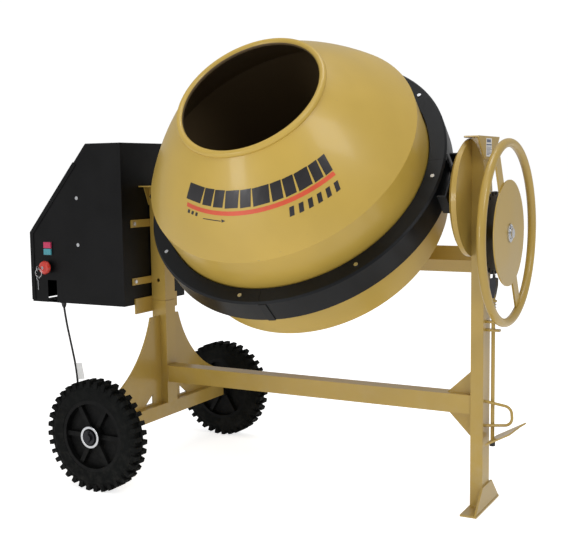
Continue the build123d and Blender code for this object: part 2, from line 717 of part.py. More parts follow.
def knob_body():
    """Contact block and collar of the emergency stop."""
    y0 = -CABINET_HALF
    collar = bar_y(y0 - 8, y0, KNOB_X, KNOB_Z, COLLAR_R + 4)
    collar += bar_y(y0 - 0.1, y0 + 14, KNOB_X, KNOB_Z, COLLAR_R)
    contacts = block(around(KNOB_X, 40), (y0 + SHEET, y0 + 46), around(KNOB_Z, 40))
    return collar + contacts - bar_y(y0 - 9, y0 + 34, KNOB_X, KNOB_Z, KNOB_STEM_R + FIT)


KNOB_STEM_R = 7.0
KNOB_BACK_Y = -CABINET_HALF - 15
BARREL_R = 5.5
KEY_HOLE_R = 3.4
RING_WIRE_R = 1.1


def emergency_knob():
    """Mushroom push knob with its stem, bored for the key's barrel."""
    cap = turned((0, 0), (KNOB_R - 1, 0), (KNOB_R, 6), (KNOB_R - 3, 13), (KNOB_R - 11, 17), (0, 18))
    knob = Pos(KNOB_X, KNOB_BACK_Y, KNOB_Z) * Rot(90, 0, 0) * cap
    knob += bar_y(KNOB_BACK_Y - 0.1, KNOB_BACK_Y + 40, KNOB_X, KNOB_Z, KNOB_STEM_R)
    return knob - bar_y(KNOB_BACK_Y - 19, KNOB_BACK_Y + 6, KNOB_X, KNOB_Z, BARREL_R + FIT)


def flat_key(y, z):
    """Bow of a flat key in the YZ plane, whose ring hole is centred at y and z."""
    bow = Pos(KNOB_X, y, z) * Rot(0, 90, 0) * (Cylinder(10, 2) - Cylinder(KEY_HOLE_R, 4))
    return bow


def release_key():
    """Key in the knob, with a ring through its bow and the spare key hanging on the ring."""
    face = KNOB_BACK_Y - 19.5
    bow_y = face - 20
    key = bar_y(face, KNOB_BACK_Y + 5.5, KNOB_X, KNOB_Z, BARREL_R)
    key += block((KNOB_X - 1, KNOB_X + 1), (bow_y + 6, face + 0.1), (KNOB_Z - 4, KNOB_Z + 4))
    key += flat_key(bow_y, KNOB_Z)
    drop = KEY_HOLE_R - RING_WIRE_R - 0.1
    ring_z = KNOB_Z - drop - 15
    ring = Pos(KNOB_X, bow_y, ring_z) * Rot(90, 0, 0) * Torus(15, RING_WIRE_R)
    spare_z = ring_z - 15 - drop
    spare = flat_key(bow_y, spare_z)
    spare += block((KNOB_X - 1, KNOB_X + 1), (bow_y - 4, bow_y + 4), (spare_z - 44, spare_z - 6))
    return key, ring, spare


# ---------------------------------------------------------------- drive
def motor_body():
    """Motor casing with cooling fins, feet and terminal box."""
    middle = (MOTOR_X0 + MOTOR_X1) / 2
    body = bar_x(MOTOR_X0, MOTOR_X1, 0, MOTOR_Z, MOTOR_R)
    fin = Pos(0, 0, MOTOR_R) * Box(MOTOR_LENGTH - 50, 3, 2 * FIN_H)
    body += [Pos(middle, 0, MOTOR_Z) * Rot(360 / FINS * i, 0, 0) * fin for i in range(FINS)]
    for y in (-1, 1):
        foot = block(around(middle, 140), around(y * 60, 44), (MOTOR_FOOT_Z, MOTOR_FOOT_Z + 8))
        web = block(around(middle, 120), around(y * 46, 8), (MOTOR_FOOT_Z + 1, MOTOR_Z - 40))
        body += foot + web
    body += block(around(middle, 80), (-30, 30), (MOTOR_Z + MOTOR_R - 4, MOTOR_Z + MOTOR_R + 26))
    return body - bar_x(MOTOR_X0 + 20, MOTOR_X1 + 1, 0, MOTOR_Z, MOTOR_SHAFT_R + FIT)


def motor_mount():
    """Folded tray bolted to the cabinet's floor that carries the motor."""
    x, floor = (MOTOR_X0 - 15, MOTOR_X1 - 15), CABINET_Z0 + SHEET
    tray = block(x, (-90, 90), (MOTOR_FOOT_Z - 4, MOTOR_FOOT_Z))
    for side in (-1, 1):
        tray += block(x, sorted((side * 86, side * 90)), (floor, MOTOR_FOOT_Z))
        tray += block(x, sorted((side * 50, side * 90)), (floor, floor + 4))
    return drilled(tray, [bar_z(floor - 1, floor + 5, bx, by, BOLT_R + FIT) for bx, by in MOUNT_BOLTS])


def pulley(radius, bore, hub_r):
    """V-belt pulley about Z, centred on Z = 0. A large one is dished and has round holes."""
    low, high = radius - BELT_T / 2 - GAP, radius + BELT_T
    half = BELT_W / 2 + 1.5 * GAP
    body = Cylinder(radius + BELT_T / 2, PULLEY_W)
    body -= turned((low, -half), (high, -half - 0.6), (high, half + 0.6), (low, half))
    if radius > 3 * hub_r:
        recess = Cylinder(radius - 20, PULLEY_W / 2) - Cylinder(hub_r, PULLEY_W / 2)
        body -= Pos(0, 0, PULLEY_W / 4 + 4) * recess
        body -= Pos(0, 0, -PULLEY_W / 4 - 4) * recess
        body = drilled(body, ring_of(5, (radius + hub_r) / 2 - 8, Cylinder(26, PULLEY_W)))
    return body - Cylinder(bore, 2 * PULLEY_W)


def motor_shaft():
    """Motor shaft with the small pulley on its end."""
    shaft = bar_x(MOTOR_X0 + 26, PULLEY_X + PULLEY_W / 2 + 4, 0, MOTOR_Z, MOTOR_SHAFT_R)
    return shaft, along_x(PULLEY_X, MOTOR_Z, pulley(SMALL_PULLEY_R, MOTOR_SHAFT_R + FIT, 14))


def belt_outline(grow):
    """Face in Y and Z round both pulleys, at their pitch radius plus a growth."""
    big, small = BIG_PULLEY_R + grow, SMALL_PULLEY_R + grow
    lean = (big - small) / (TILT_Z - MOTOR_Z)
    side = sqrt(1 - lean * lean)
    top, low = TILT_Z - big * lean, MOTOR_Z - small * lean
    corners = [(-big * side, top), (big * side, top), (small * side, low), (-small * side, low)]
    face = make_face(Polyline(*corners, close=True))
    return face + Pos(0, TILT_Z) * Circle(big) + Pos(0, MOTOR_Z) * Circle(small)


def drive_belt():
    """V-belt: a closed loop of constant thickness round the two pulleys."""
    loop = belt_outline(BELT_T / 2) - belt_outline(-BELT_T / 2)
    return Pos(PULLEY_X - BELT_W / 2, 0, 0) * extrude(Plane.YZ * loop, BELT_W)


def drive_pinion():
    """Pinion on the inner end of the drive shaft, under the crown teeth of the ring gear."""
    gear = involute_gear(PINION_TEETH, RING_MODULE, RING_FACE + 2, RING_BACKLASH, 0.8, 1.0, 20)
    gear = Rot(0, 90, 0) * (gear - Cylinder(SHAFT_R + FIT, 200))
    return Pos(-RING_R - RING_FACE / 2 - 1, 0, TILT_Z) * Rot(DRUM_LEAN, 0, 0) * gear


# ---------------------------------------------------------------- drum
def gear_bolt_holes():
    hole = Pos(0, 0, FLANGE_S) * Cylinder(BOLT_R + FIT, 60)
    return ring_of(GEAR_BOLTS, GEAR_BOLT_R, hole, 15)


def spindle_bolt_holes():
    hole = Pos(0, 0, BOTTOM_S) * Cylinder(BOLT_R + FIT, 40)
    return ring_of(SPINDLE_BOLTS, SPINDLE_BOLT_R, hole)


def ring_gear():
    """Toothed ring with crown teeth that face the tilt axis, where the pinion runs."""
    root_s = PINION_R + 0.95 * RING_MODULE
    ring = tube_z(root_s, FLANGE_S, 0, 0, RING_R1, RING_R0)
    half = (pi * RING_MODULE / 2 - RING_BACKLASH) / 2
    up, down = 0.95 * RING_MODULE + 0.5, 0.8 * RING_MODULE
    slope = tan(radians(20))
    tooth_points = [(half + up * slope, PINION_R + up), (half - down * slope, PINION_R - down),
                    (down * slope - half, PINION_R - down), (-half - up * slope, PINION_R + up)]
    tooth = plate_x(RING_R0 + 0.5, RING_R0 + RING_FACE, tooth_points)
    step = 360 / RING_TEETH
    ring += [Rot(0, 0, 180 + step * (i + 0.5)) * tooth for i in range(RING_TEETH)]
    return on_drum(drilled(ring, gear_bolt_holes()))


def upper_shell():
    """Upper half of the drum: cylindrical band, slightly bulged cone and rolled mouth."""
    r, wall = DRUM_R, DRUM_WALL
    run, rise = r - MOUTH_R, MOUTH_S - SHOULDER_S
    out = (rise / hypot(run, rise), run / hypot(run, rise))
    middle = ((r + MOUTH_R) / 2 + CONE_BULGE * out[0], (SHOULDER_S + MOUTH_S) / 2 + CONE_BULGE * out[1])
    inside = (middle[0] - wall * out[0], middle[1] - wall * out[1])
    lip_in = (MOUTH_R - wall * out[0], MOUTH_S - wall * out[1])
    shoulder_in = (r - wall, SHOULDER_S - 0.3 * wall)
    flange_r = RING_R1 + 0.5
    outer = ThreePointArc((r, SHOULDER_S), middle, (MOUTH_R, MOUTH_S))
    inner = ThreePointArc(lip_in, inside, shoulder_in)
    mouth = Line((MOUTH_R, MOUTH_S), lip_in)
    band = Polyline(shoulder_in, (r - wall, FLANGE_S), (flange_r, FLANGE_S), (flange_r, FLANGE_S + FLANGE_T),
                    (r, FLANGE_S + FLANGE_T), (r, SHOULDER_S))
    shell = revolve(Plane.XZ * make_face([outer, mouth, inner, band]), Axis.Z)
    shell += Pos(0, 0, MOUTH_S) * Torus(MOUTH_R, MOUTH_LIP_R)
    return on_drum(drilled(shell, gear_bolt_holes()))


def lower_shell():
    """Lower half of the drum: band, cone and flat bottom with its spindle bolt holes."""
    r, wall, top = DRUM_R, DRUM_WALL, FLANGE_S
    flange_r = RING_R0 - 1
    shell = turned((0, BOTTOM_S), (BOTTOM_R, BOTTOM_S), (r, LOWER_S), (r, top - FLANGE_T),
                   (flange_r, top - FLANGE_T), (flange_r, top), (r - wall, top),
                   (r - wall, LOWER_S + 0.4 * wall), (BOTTOM_R - 0.4 * wall, BOTTOM_S + wall),
                   (0, BOTTOM_S + wall))
    return on_drum(drilled(shell, spindle_bolt_holes()))


def mixing_paddles():
    """Inclined blades inside the drum, each on two pegs from the wall."""
    blades = []
    spread = PADDLE_SIZE[2] * 0.18
    for i in range(PADDLE_COUNT):
        blade = Pos(PADDLE_R, 0, PADDLE_S) * Rot(PADDLE_LEAN, 0, 0) * Box(*PADDLE_SIZE)
        for s in (-spread, spread):
            y = -s * tan(radians(PADDLE_LEAN))
            reach = sqrt((DRUM_R - DRUM_WALL) ** 2 - (abs(y) + 7) ** 2) - FIT
            blade += bar_x(PADDLE_R + PADDLE_SIZE[0] / 2 - 12, reach, y, PADDLE_S + s, 7)
        blades.append(on_drum(Rot(0, 0, 90 + 360 / PADDLE_COUNT * i) * blade))
    return blades


def drum_spindle():
    """Flanged spindle under the drum's bottom, with the nut that holds it in the cradle."""
    flange = Pos(0, 0, (BOTTOM_S + SPINDLE_TOP_S) / 2) * Cylinder(SPINDLE_FLANGE_R, BOTTOM_S - SPINDLE_TOP_S)
    flange = drilled(flange, spindle_bolt_holes())
    stem = bar_z(SPINDLE_END_S, SPINDLE_TOP_S + 0.1, 0, 0, SPINDLE_R)
    nut = extrude(RegularPolygon(28, 6), 13) - Cylinder(SPINDLE_R + FIT, 60)
    return on_drum(flange + stem), on_drum(Pos(0, 0, CHANNEL_END_S - 13 - GAP) * nut)


def drum_bolts():
    """Bolts of the ring gear's flange and, inside the drum, of the spindle's flange."""
    bolt = Pos(0, 0, FLANGE_S + FLANGE_T) * hex_bolt(BOLT_R, FLANGE_T + 14)
    bolts = ring_of(GEAR_BOLTS, GEAR_BOLT_R, bolt, 15)
    bolt = Pos(0, 0, BOTTOM_S + DRUM_WALL) * hex_bolt(BOLT_R, 16)
    bolts += ring_of(SPINDLE_BOLTS, SPINDLE_BOLT_R, bolt)
    return [on_drum(b) for b in bolts]


# ---------------------------------------------------------------- cradle
def cradle_yoke():
    """Welded yoke: channel with the bearing's housing, two arms and the two trunnions."""
    x0, x1 = ARM_LEFT_X, ARM_RIGHT_X + ARM_T
    half, web = CHANNEL_W / 2, CHANNEL_W / 2 - CHANNEL_T
    yoke = block((x0 + 1, x1 - 1), (-half, half), (CHANNEL_END_S, CHANNEL_S))
    yoke -= block((x0 + ARM_T, x1 - ARM_T), (-web, web), (CHANNEL_END_S - 1, CHANNEL_S - CHANNEL_T))
    for x in (ARM_LEFT_X, ARM_RIGHT_X):
        yoke += block((x, x + ARM_T), (-ARM_W / 2, ARM_W / 2), (CHANNEL_END_S, ARM_TOP_S - ARM_W / 2))
        yoke += bar_x(x, x + ARM_T, 0, ARM_TOP_S - ARM_W / 2, ARM_W / 2)
    yoke += bar_z(CHANNEL_END_S, CHANNEL_S + 4, 0, 0, web + 1)
    yoke -= bar_z(CHANNEL_END_S - 1, CHANNEL_S + 5, 0, 0, HOUSING_BORE + FIT)
    yoke += bar_x(COLUMN_LEFT - 8, ARM_LEFT_X + 1, 0, 0, HOLLOW_R)
    yoke += bar_x(ARM_LEFT_X - 5, ARM_LEFT_X + 1, 0, 0, 34)
    yoke -= bar_x(COLUMN_LEFT - 9, ARM_LEFT_X + ARM_T + 1, 0, 0, HOLLOW_BORE + FIT)
    yoke += bar_x(ARM_RIGHT_X + 1, TILT_SHAFT_X1, 0, 0, TRUNNION_R)
    yoke += bar_x(x1 - 1, COVER_X0 - 3, 0, 0, 27)
    pin_hole = bar_z(-20, 20, TILT_SHAFT_X1 - 4.5, 0, PIN_R + FIT)
    return on_drum(yoke - pin_hole)


def trunnion_pin():
    """Split pin through the solid trunnion, with the washer that bears on the bush."""
    x = TILT_SHAFT_X1 - 4.5
    washer = tube_x(POST_X1 + 3 + GAP, x - PIN_R - 0.2, 0, 0, 25, TRUNNION_R + FIT)
    return on_drum(washer), on_drum(split_pin(x, 0, 0, TRUNNION_R + 3, "x"))


def cradle_bushes():
    """Two bushes of the drum's spindle, and the one of the drive shaft in the hollow trunnion."""
    upper = tube_z(CHANNEL_S - 26, SPINDLE_TOP_S - GAP, 0, 0, HOUSING_BORE, SPINDLE_R + FIT)
    lower = tube_z(CHANNEL_END_S, CHANNEL_END_S + 30, 0, 0, HOUSING_BORE, SPINDLE_R + FIT)
    shaft = tube_x(COLUMN_LEFT - 8, ARM_LEFT_X + ARM_T, 0, 0, HOLLOW_BORE, SHAFT_R + FIT)
    return on_drum(upper), on_drum(lower), on_drum(shaft)


def tilt_gear():
    """Gear on the solid trunnion, with a tooth gap straight down at rest."""
    gear = involute_gear(TILT_GEAR_TEETH, TILT_MODULE, TILT_GEAR_W, TILT_BACKLASH, 0.85, 1.1, 22)
    gear = Rot(0, 0, 180 / TILT_GEAR_TEETH) * gear - Cylinder(TRUNNION_R + FIT, 100)
    return along_x(GEAR_X0, TILT_Z, gear)


def guard_ring():
    """Moulded guard in four segments round the ring gear, each with a raised end band."""
    r, s1, t = GUARD_R, GUARD_S1, GUARD_T
    ring = turned((GUARD_INNER, s1 - t), (GUARD_INNER, s1), (r - 6, s1), (r, s1 - 6), (r, GUARD_S0),
                  (r - t, GUARD_S0), (r - t, s1 - t - 4), (r - t - 4, s1 - t))
    ring = drilled(ring, guard_screw_places(Pos(0, 0, s1) * Cylinder(SCREW_R + FIT, 30)))
    band = Pos(0, 0, (GUARD_S0 + s1 - 6) / 2) * (Cylinder(r + 3, s1 - 6 - GUARD_S0) - Cylinder(r - 1, 200))
    quarter = Pos(400.4, 400.4, 0) * Box(800, 800, 600)
    band_end = Pos(400.4, 12.4, 0) * Box(800, 24, 600)
    segments = []
    for i in range(GUARD_PARTS):
        turn = Rot(0, 0, GUARD_SEAM + 360 / GUARD_PARTS * i)
        segments.append(on_drum((ring & (turn * quarter)) + (band & (turn * band_end))))
    return segments


def guard_screw_places(shape):
    """Copies of a piece at the guard's front flange: two for each segment."""
    return ring_of(2 * GUARD_PARTS, GUARD_SCREW_R, shape, GUARD_SEAM - 8)


def guard_screws():
    screws = guard_screw_places(Pos(0, 0, GUARD_S1) * round_screw(SCREW_R, 12))
    return [on_drum(screw) for screw in screws]


def guard_bracket(side):
    """Folded bracket from a yoke arm out to the guard's wall."""
    face = ARM_RIGHT_X if side > 0 else -(ARM_LEFT_X + ARM_T)
    half, s1 = BRACKET_HALF, GUARD_S1 - 12
    bracket = block((face - BRACKET_T, face), (-half, half), (-34, s1))
    reach = (GUARD_R, face - 1)
    bracket += block(reach, (-half, half), (GUARD_S0 + 30, GUARD_S0 + 30 + BRACKET_T))
    for u in (-half, half - BRACKET_T):
        bracket += block(reach, (u, u + BRACKET_T), (GUARD_S0, s1))
    bracket -= Cylinder(GUARD_R + 3 + FIT, 800)
    bracket -= bar_x(face - BRACKET_T - 1, face + 1, 0, 0, HOLLOW_R + 8)
    return on_drum(bracket if side > 0 else mirror(bracket, about=Plane.YZ))


# ---------------------------------------------------------------- handwheel
def handwheel():
    """Welded wheel: rim, one flat bar behind the round disc, and the hub on the shaft."""
    reach = WHEEL_RIM_R - WHEEL_RIM_TUBE + 2
    rim = along_x(WHEEL_RIM_X, HAND_Z, Torus(WHEEL_RIM_R, WHEEL_RIM_TUBE))
    bar = block((WHEEL_RIM_X - BAR_T, WHEEL_RIM_X), around(0, BAR_W), (-reach, reach))
    wheel = rim + Pos(0, 0, HAND_Z) * Rot(BAR_LEAN, 0, 0) * bar
    wheel += tube_x(WHEEL_RIM_X, WHEEL_RIM_X + 4, 0, HAND_Z, WHEEL_DISC_R, WHEEL_HOLE_R)
    wheel += bar_x(LOCK_DISC_X + LOCK_DISC_T, WHEEL_RIM_X, 0, HAND_Z, WHEEL_HUB_R)
    return wheel - bar_x(LOCK_DISC_X, WHEEL_RIM_X + 1, 0, HAND_Z, WHEEL_SHAFT_R + FIT)


def handwheel_shaft():
    shaft = bar_x(GEAR_X0 - 0.5, HAND_SHAFT_X1, 0, HAND_Z, WHEEL_SHAFT_R)
    return shaft - bar_z(HAND_Z - 20, HAND_Z + 20, HAND_SHAFT_X1 - 6, 0, PIN_R + FIT)


def handwheel_washer():
    """Washer in the disc's centre hole with the split pin outside it."""
    pin_x = HAND_SHAFT_X1 - 6
    r = WHEEL_HOLE_R - 1
    washer = tube_x(WHEEL_RIM_X, pin_x - PIN_R - 0.2, 0, HAND_Z, r, WHEEL_SHAFT_R + FIT)
    return washer, split_pin(pin_x, 0, HAND_Z, WHEEL_SHAFT_R + 3, "x")


def tilt_pinion():
    """Pinion on the handwheel's shaft, with a tooth straight up at rest."""
    gear = involute_gear(TILT_PINION_TEETH, TILT_MODULE, TILT_GEAR_W, TILT_BACKLASH, 0.85, 1.05, 22)
    return along_x(GEAR_X0, HAND_Z, gear - Cylinder(WHEEL_SHAFT_R + FIT, 100))


def lock_disc():
    """Notched disc on the handwheel's shaft that the pawl can enter."""
    x0 = LOCK_DISC_X
    disc = tube_x(x0, x0 + LOCK_DISC_T, 0, HAND_Z, LOCK_DISC_R, WHEEL_SHAFT_R + FIT)
    notch = block((x0 - 1, x0 + LOCK_DISC_T + 1), around(0, NOTCH_W), around(-LOCK_DISC_R, 2 * NOTCH_DEPTH))
    step = 360 / LOCK_NOTCHES
    return drilled(disc, [Pos(0, 0, HAND_Z) * Rot(step * i, 0, 0) * notch for i in range(LOCK_NOTCHES)])


# ---------------------------------------------------------------- tilt lock
def foot_pedal():
    """Inclined foot plate on its upright rod, with the collar that the spring pushes up."""
    length, half = PEDAL_LENGTH, PEDAL_HALF
    corners = [(-4, -half), (length - 22, -half), (length - 12, 35), (length, half), (-4, half)]
    plate = extrude(make_face(Polyline(*corners, close=True)), PEDAL_T)
    pedal = Pos(ROD_X, 0, PEDAL_Z) * Rot(0, -PEDAL_RISE, 0) * plate
    pedal += bar_z(ROD_Z0, ROD_Z1, ROD_X, 0, ROD_R)
    return pedal + bar_z(COLLAR_Z, COLLAR_Z + 5, ROD_X, 0, 11)


def lock_pawl():
    """Pawl on top of the rod: its tip stands just below the lock disc."""
    x, top = ROD_X, LOCK_Z - PAWL_GAP
    points = [(x - 9, 672), (x + 4, 672), (x + 11, top - 34), (x + 11, top - 12), (x + 4, top - 10)]
    points += [(x + 4, top), (x - 2, top), (x - 2, top - 10), (x - 9, top - 12)]
    tooth_half = NOTCH_W / 2 - 1
    pawl = plate_y(-12, 12, points)
    for side in (-1, 1):
        pawl -= block((x - 20, x + 20), sorted((side * tooth_half, side * 20)), (top - 10, top + 1))
    return pawl - bar_z(671, ROD_Z1 + 0.2, x, 0, ROD_R + FIT)


def return_spring():
    """Coil spring round the rod between the upper lug and the collar."""
    low = GUIDE_LUGS[1][0] + LUG_T + SPRING_WIRE_R + 0.1
    height = COLLAR_Z - SPRING_WIRE_R - 0.1 - low
    path = Helix(pitch=height / SPRING_TURNS, height=height, radius=SPRING_R)
    wire = sweep(Plane(origin=path @ 0, z_dir=path % 0) * Circle(SPRING_WIRE_R), path)
    return Pos(ROD_X, 0, low) * wire


def rod_cap():
    """Plain end cap under the pedal's rod."""
    cap = bar_z(ROD_Z0 - 4, ROD_Z0 + 8, ROD_X, 0, ROD_R + 3)
    return cap - bar_z(ROD_Z0, ROD_Z0 + 9, ROD_X, 0, ROD_R + FIT)


# ---------------------------------------------------------------- cord
def turn_radii(points):
    """Largest arc that each corner's two runs allow."""
    radii = []
    for a, b, c in zip(points, points[1:], points[2:]):
        first, second = Vector(*b) - Vector(*a), Vector(*c) - Vector(*b)
        turn = radians(first.get_angle(second))
        radii.append(0.45 * min(first.length, second.length) / tan(turn / 2))
    return radii


def power_cord():
    radii = turn_radii(CORD_POINTS)
    print("cord radii", [round(r) for r in radii])
    path = FilletPolyline(*CORD_POINTS, radius=radii)
    return sweep(Plane(origin=path @ 0, z_dir=path % 0) * Circle(CORD_R), path)


def cord_coil():
    """Outer shape of the put-away turns, which lie on the ground."""
    return tube_z(0.2, 0.2 + COIL_H, *COIL_MIDDLE, COIL_R + COIL_HALF_W, COIL_R - COIL_HALF_W)


def cord_gland():
    """Gland in the cabinet's floor that the cord leaves through."""
    z, top = CABINET_Z0, CABINET_Z0 + SHEET
    gland = bar_z(z - 14, z + 12, *GLAND, GLAND_R) + bar_z(z - 6, z, *GLAND, GLAND_R + 4)
    gland += bar_z(top, top + 5, *GLAND, GLAND_R + 4)
    gland += Pos(*GLAND, z - GLAND_LENGTH + 5) * Cone(CORD_R + 1.5, GLAND_R, 10)
    return gland - bar_z(z - 30, z + 20, *GLAND, CORD_R - 0.5)


def cord_tag():
    """Plain paper tag stuck round the cord."""
    x, y, z = CORD_POINTS[4]
    tag = Pos(x + 18, y, z - 18) * Rot(0, -10, 0) * Box(34, 0.8, 62)
    return tag


def power_plug():
    """Round three-pin plug lying on the coil."""
    x, y = COIL_MIDDLE[0], COIL_MIDDLE[1] + COIL_R
    z = 0.2 + COIL_H + 13
    body = bar_x(x - 22, x + 20, y, z, 13) + Pos(x + 29, y, z) * Rot(0, 90, 0) * Cone(13, 6, 18)
    for dy, dz in ((-6, -3), (6, -3), (0, 6)):
        body += bar_x(x - 41, x - 21, y + dy, z + dz, 2.2)
    return body


# ---------------------------------------------------------------- build
def build_frame():
    save("axle_beam", axle_beam())
    save("lower_column", lower_column())
    save("upper_column", upper_column())
    save("column_spigot", column_spigot())
    save("column_wings", column_wing(), mirrored_y(column_wing()))
    save("main_beam", main_beam(), *beam_gussets())
    save("right_post", right_post())
    save("post_cap", post_cap())
    save("cabinet_straps", *cabinet_straps())
    save("cabinet_bolts", *cabinet_bolts(), *cabinet_screws())
    save("frame_bushes", *frame_bushes())
    save("tilt_gear_cover", tilt_gear_cover(), gear_back_plate())
    save("foot_guard", foot_guard())


def build_wheels():
    tyre, rim = wheel_tyre(), wheel_rim()
    for side, name in ((-1, "front"), (1, "back")):
        save(f"{name}_wheel_tyre", on_axle(tyre, side))
        save(f"{name}_wheel_rim", on_axle(rim, side))
    save("axle_bar", axle_bar(), *axle_washers())


def build_cabinet():
    lower_well, upper_well = button_wells()
    save("cabinet_body", cabinet_body())
    save("cabinet_cover", cabinet_cover())
    save("cover_hinge_pin", cover_hinge_pin())
    save("switch_box", switch_box())
    save("stop_button", push_button(upper_well))
    save("start_button", push_button(lower_well))
    save("emergency_stop_body", knob_body())
    save("emergency_knob", emergency_knob())
    save("release_key", *release_key())


def build_cord():
    save("cord_gland", cord_gland())
    save("power_cord", power_cord())
    save("cord_coil", cord_coil())
    save("power_plug", power_plug())
    save("cord_tag", cord_tag())


def build_drive():
    save("motor_body", motor_body())
    save("motor_mount", motor_mount())
    save("motor_shaft", *motor_shaft())
    save("drive_belt", drive_belt())
    save("drive_shaft", bar_x(DRIVE_X0, DRIVE_X1, 0, TILT_Z, SHAFT_R))
    save("large_pulley", along_x(PULLEY_X, TILT_Z, pulley(BIG_PULLEY_R, SHAFT_R + FIT, 28)))
    save("drive_pinion", drive_pinion())


def build_drum():
    save("upper_shell", upper_shell())
    save("lower_shell", lower_shell())
    save("ring_gear", ring_gear())
    save("drum_bolts", *drum_bolts())
    save("mixing_paddles", *mixing_paddles())
    save("drum_spindle", *drum_spindle())


def build_cradle():
    save("cradle_yoke", cradle_yoke())
    save("trunnion_pin", *trunnion_pin())
    save("cradle_bushes", *cradle_bushes())
    save("tilt_gear", tilt_gear())
    save("guard_ring", *guard_ring())
    save("guard_screws", *guard_screws())
    save("guard_brackets", guard_bracket(1), guard_bracket(-1))


def build_tilting():
    save("handwheel", handwheel())
    save("handwheel_shaft", handwheel_shaft(), *handwheel_washer())
    save("tilt_pinion", tilt_pinion())
    save("lock_disc", lock_disc())
    save("foot_pedal", foot_pedal())
    save("lock_pawl", lock_pawl())
    save("return_spring", return_spring())
    save("rod_cap", rod_cap())


build_frame()
build_wheels()
build_cabinet()
build_cord()
build_drive()
build_drum()
build_cradle()
build_tilting()
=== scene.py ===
"""Looks of a tilting-drum concrete mixer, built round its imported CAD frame."""
import json
import math

import bpy
from bpy.props import FloatProperty, FloatVectorProperty, IntProperty, PointerProperty
from mathutils import Matrix, Vector


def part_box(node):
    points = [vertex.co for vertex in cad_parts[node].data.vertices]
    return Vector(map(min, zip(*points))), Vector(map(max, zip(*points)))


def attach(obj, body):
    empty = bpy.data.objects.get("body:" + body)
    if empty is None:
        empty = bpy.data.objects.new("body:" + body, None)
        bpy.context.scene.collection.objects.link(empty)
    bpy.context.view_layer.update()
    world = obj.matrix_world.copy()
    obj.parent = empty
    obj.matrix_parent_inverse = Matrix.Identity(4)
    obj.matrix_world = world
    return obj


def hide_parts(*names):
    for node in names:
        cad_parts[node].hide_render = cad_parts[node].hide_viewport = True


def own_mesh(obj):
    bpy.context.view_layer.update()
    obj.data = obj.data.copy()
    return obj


bl_info = {
    "name": "Concrete Mixer Looks",
    "version": (1, 0, 0),
    "blender": (4, 5, 0),
    "location": "3D View > Sidebar > Mixer",
    "description": "Paint, rubber, decals and supply cord of a concrete mixer",
    "category": "Object",
}

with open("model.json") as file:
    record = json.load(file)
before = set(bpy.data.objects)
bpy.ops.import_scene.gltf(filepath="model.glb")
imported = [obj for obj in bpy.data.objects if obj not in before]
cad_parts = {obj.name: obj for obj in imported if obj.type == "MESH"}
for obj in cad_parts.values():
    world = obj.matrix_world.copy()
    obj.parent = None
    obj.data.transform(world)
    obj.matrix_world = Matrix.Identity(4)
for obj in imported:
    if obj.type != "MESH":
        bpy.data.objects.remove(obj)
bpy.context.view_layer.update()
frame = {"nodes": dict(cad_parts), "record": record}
NODES = frame["nodes"]

# ---------------------------------------------------------------- places, in metres
SHIFT = Vector((0.162720, 0.035808, 0.0))     # from the drawing's origin to the frame's
DRUM_LEAN = math.radians(48.7)
DRUM_MIDDLE = Vector((0, 0, 0.982)) + SHIFT
DRUM_AXIS = Vector((0, -math.sin(DRUM_LEAN), math.cos(DRUM_LEAN)))
DRUM_FRONT = Vector((0, -math.cos(DRUM_LEAN), -math.sin(DRUM_LEAN)))
CONE_LOW, CONE_HIGH = (0.249, 0.457), (0.483, 0.236)      # (along the axis, radius)
CONE_BULGE = 0.012
INSIDE_FROM, INSIDE_TO = -0.02, -0.06         # a face turns to the painted shade of the drum's inside between these

# the camera, and the softboxes as (name, place, aim, width, watts)
CAMERA_PLACE = (1.7064, -2.9512, 1.075)
CAMERA_TURN = (28.66, 5.95, -0.81)            # azimuth, pitch and roll in degrees
SOFTBOXES = (
    ("key_softbox", (3.4, -2.2, 3.6), (0.2, 0, 1.0), 1.5, 46),
    ("front_softbox", (-1.2, -4.6, 1.2), (0, 0, 0.8), 1.1, 38),
    ("top_softbox", (0.6, 0.4, 4.6), (0.2, 0, 1.0), 1.6, 27),
    ("floor_wash", (0.4, -1.6, 6.5), (0.4, -0.6, 0), 5.0, 52),
)
AMBIENT = 0.47
BACKDROP = 1.02
FLOOR_WIDTH = 24
FLOOR_GLOW = {"To Min": 0.25, "To Max": 0.72}             # on the machine, and as seen

# the supply cord, in the drawing's millimetres
CORD_ROUTE = [
    (-949, -150, 575), (-941, -150, 522), (-928, -150, 466), (-915, -150, 411),
    (-903, -150, 356), (-896, -151, 302), (-891, -153, 248), (-886, -156, 194),
    (-878, -160, 141), (-864, -168, 91), (-842, -180, 47), (-812, -196, 18),
    (-780, -214, 7), (-756, -238, 5), (-743, -264.5, 4.6),
]
COIL_MIDDLE = (-690, -292)
COIL_END = [                                  # from the coil up to the plug lying on it
    (-681, -342, 13), (-664, -340, 14), (-640, -334, 16), (-619, -318, 19),
    (-610, -293, 23), (-617, -267, 27), (-634, -251, 29), (-648, -247, 29.2),
    (-657, -247, 29.2),
]
COIL_TURNS = 3.25
COIL_START = math.radians(190)
COIL_IN, COIL_UP, COIL_OUT = (0.62, 0.25), (1.5, 0.3), (2.55, 0.25)       # (turn, for how long)

# the drum's decal: widths and heights in millimetres, angles in degrees round the drum
PRESS_FROM = 0.03                             # decals are pressed on from this far outside
DECAL_GAP = 0.005
BAR_WIDTHS = (62, 34, 34, 44, 34, 52, 34, 34, 44, 30, 26)
BAR_START, BAR_ALONG, BAR_DROP, BAR_HEIGHT = -25.0, 0.397, 0.0012, 52
STRIPE_CUTS, STRIPE_HEIGHT, STRIPE_OVERLAP = 26, 13.0, 1.02
STRIPE_FROM, STRIPE_TO = -22.8, 54.2
STRIPE_ALONG, STRIPE_DROP = 0.3655, 0.006

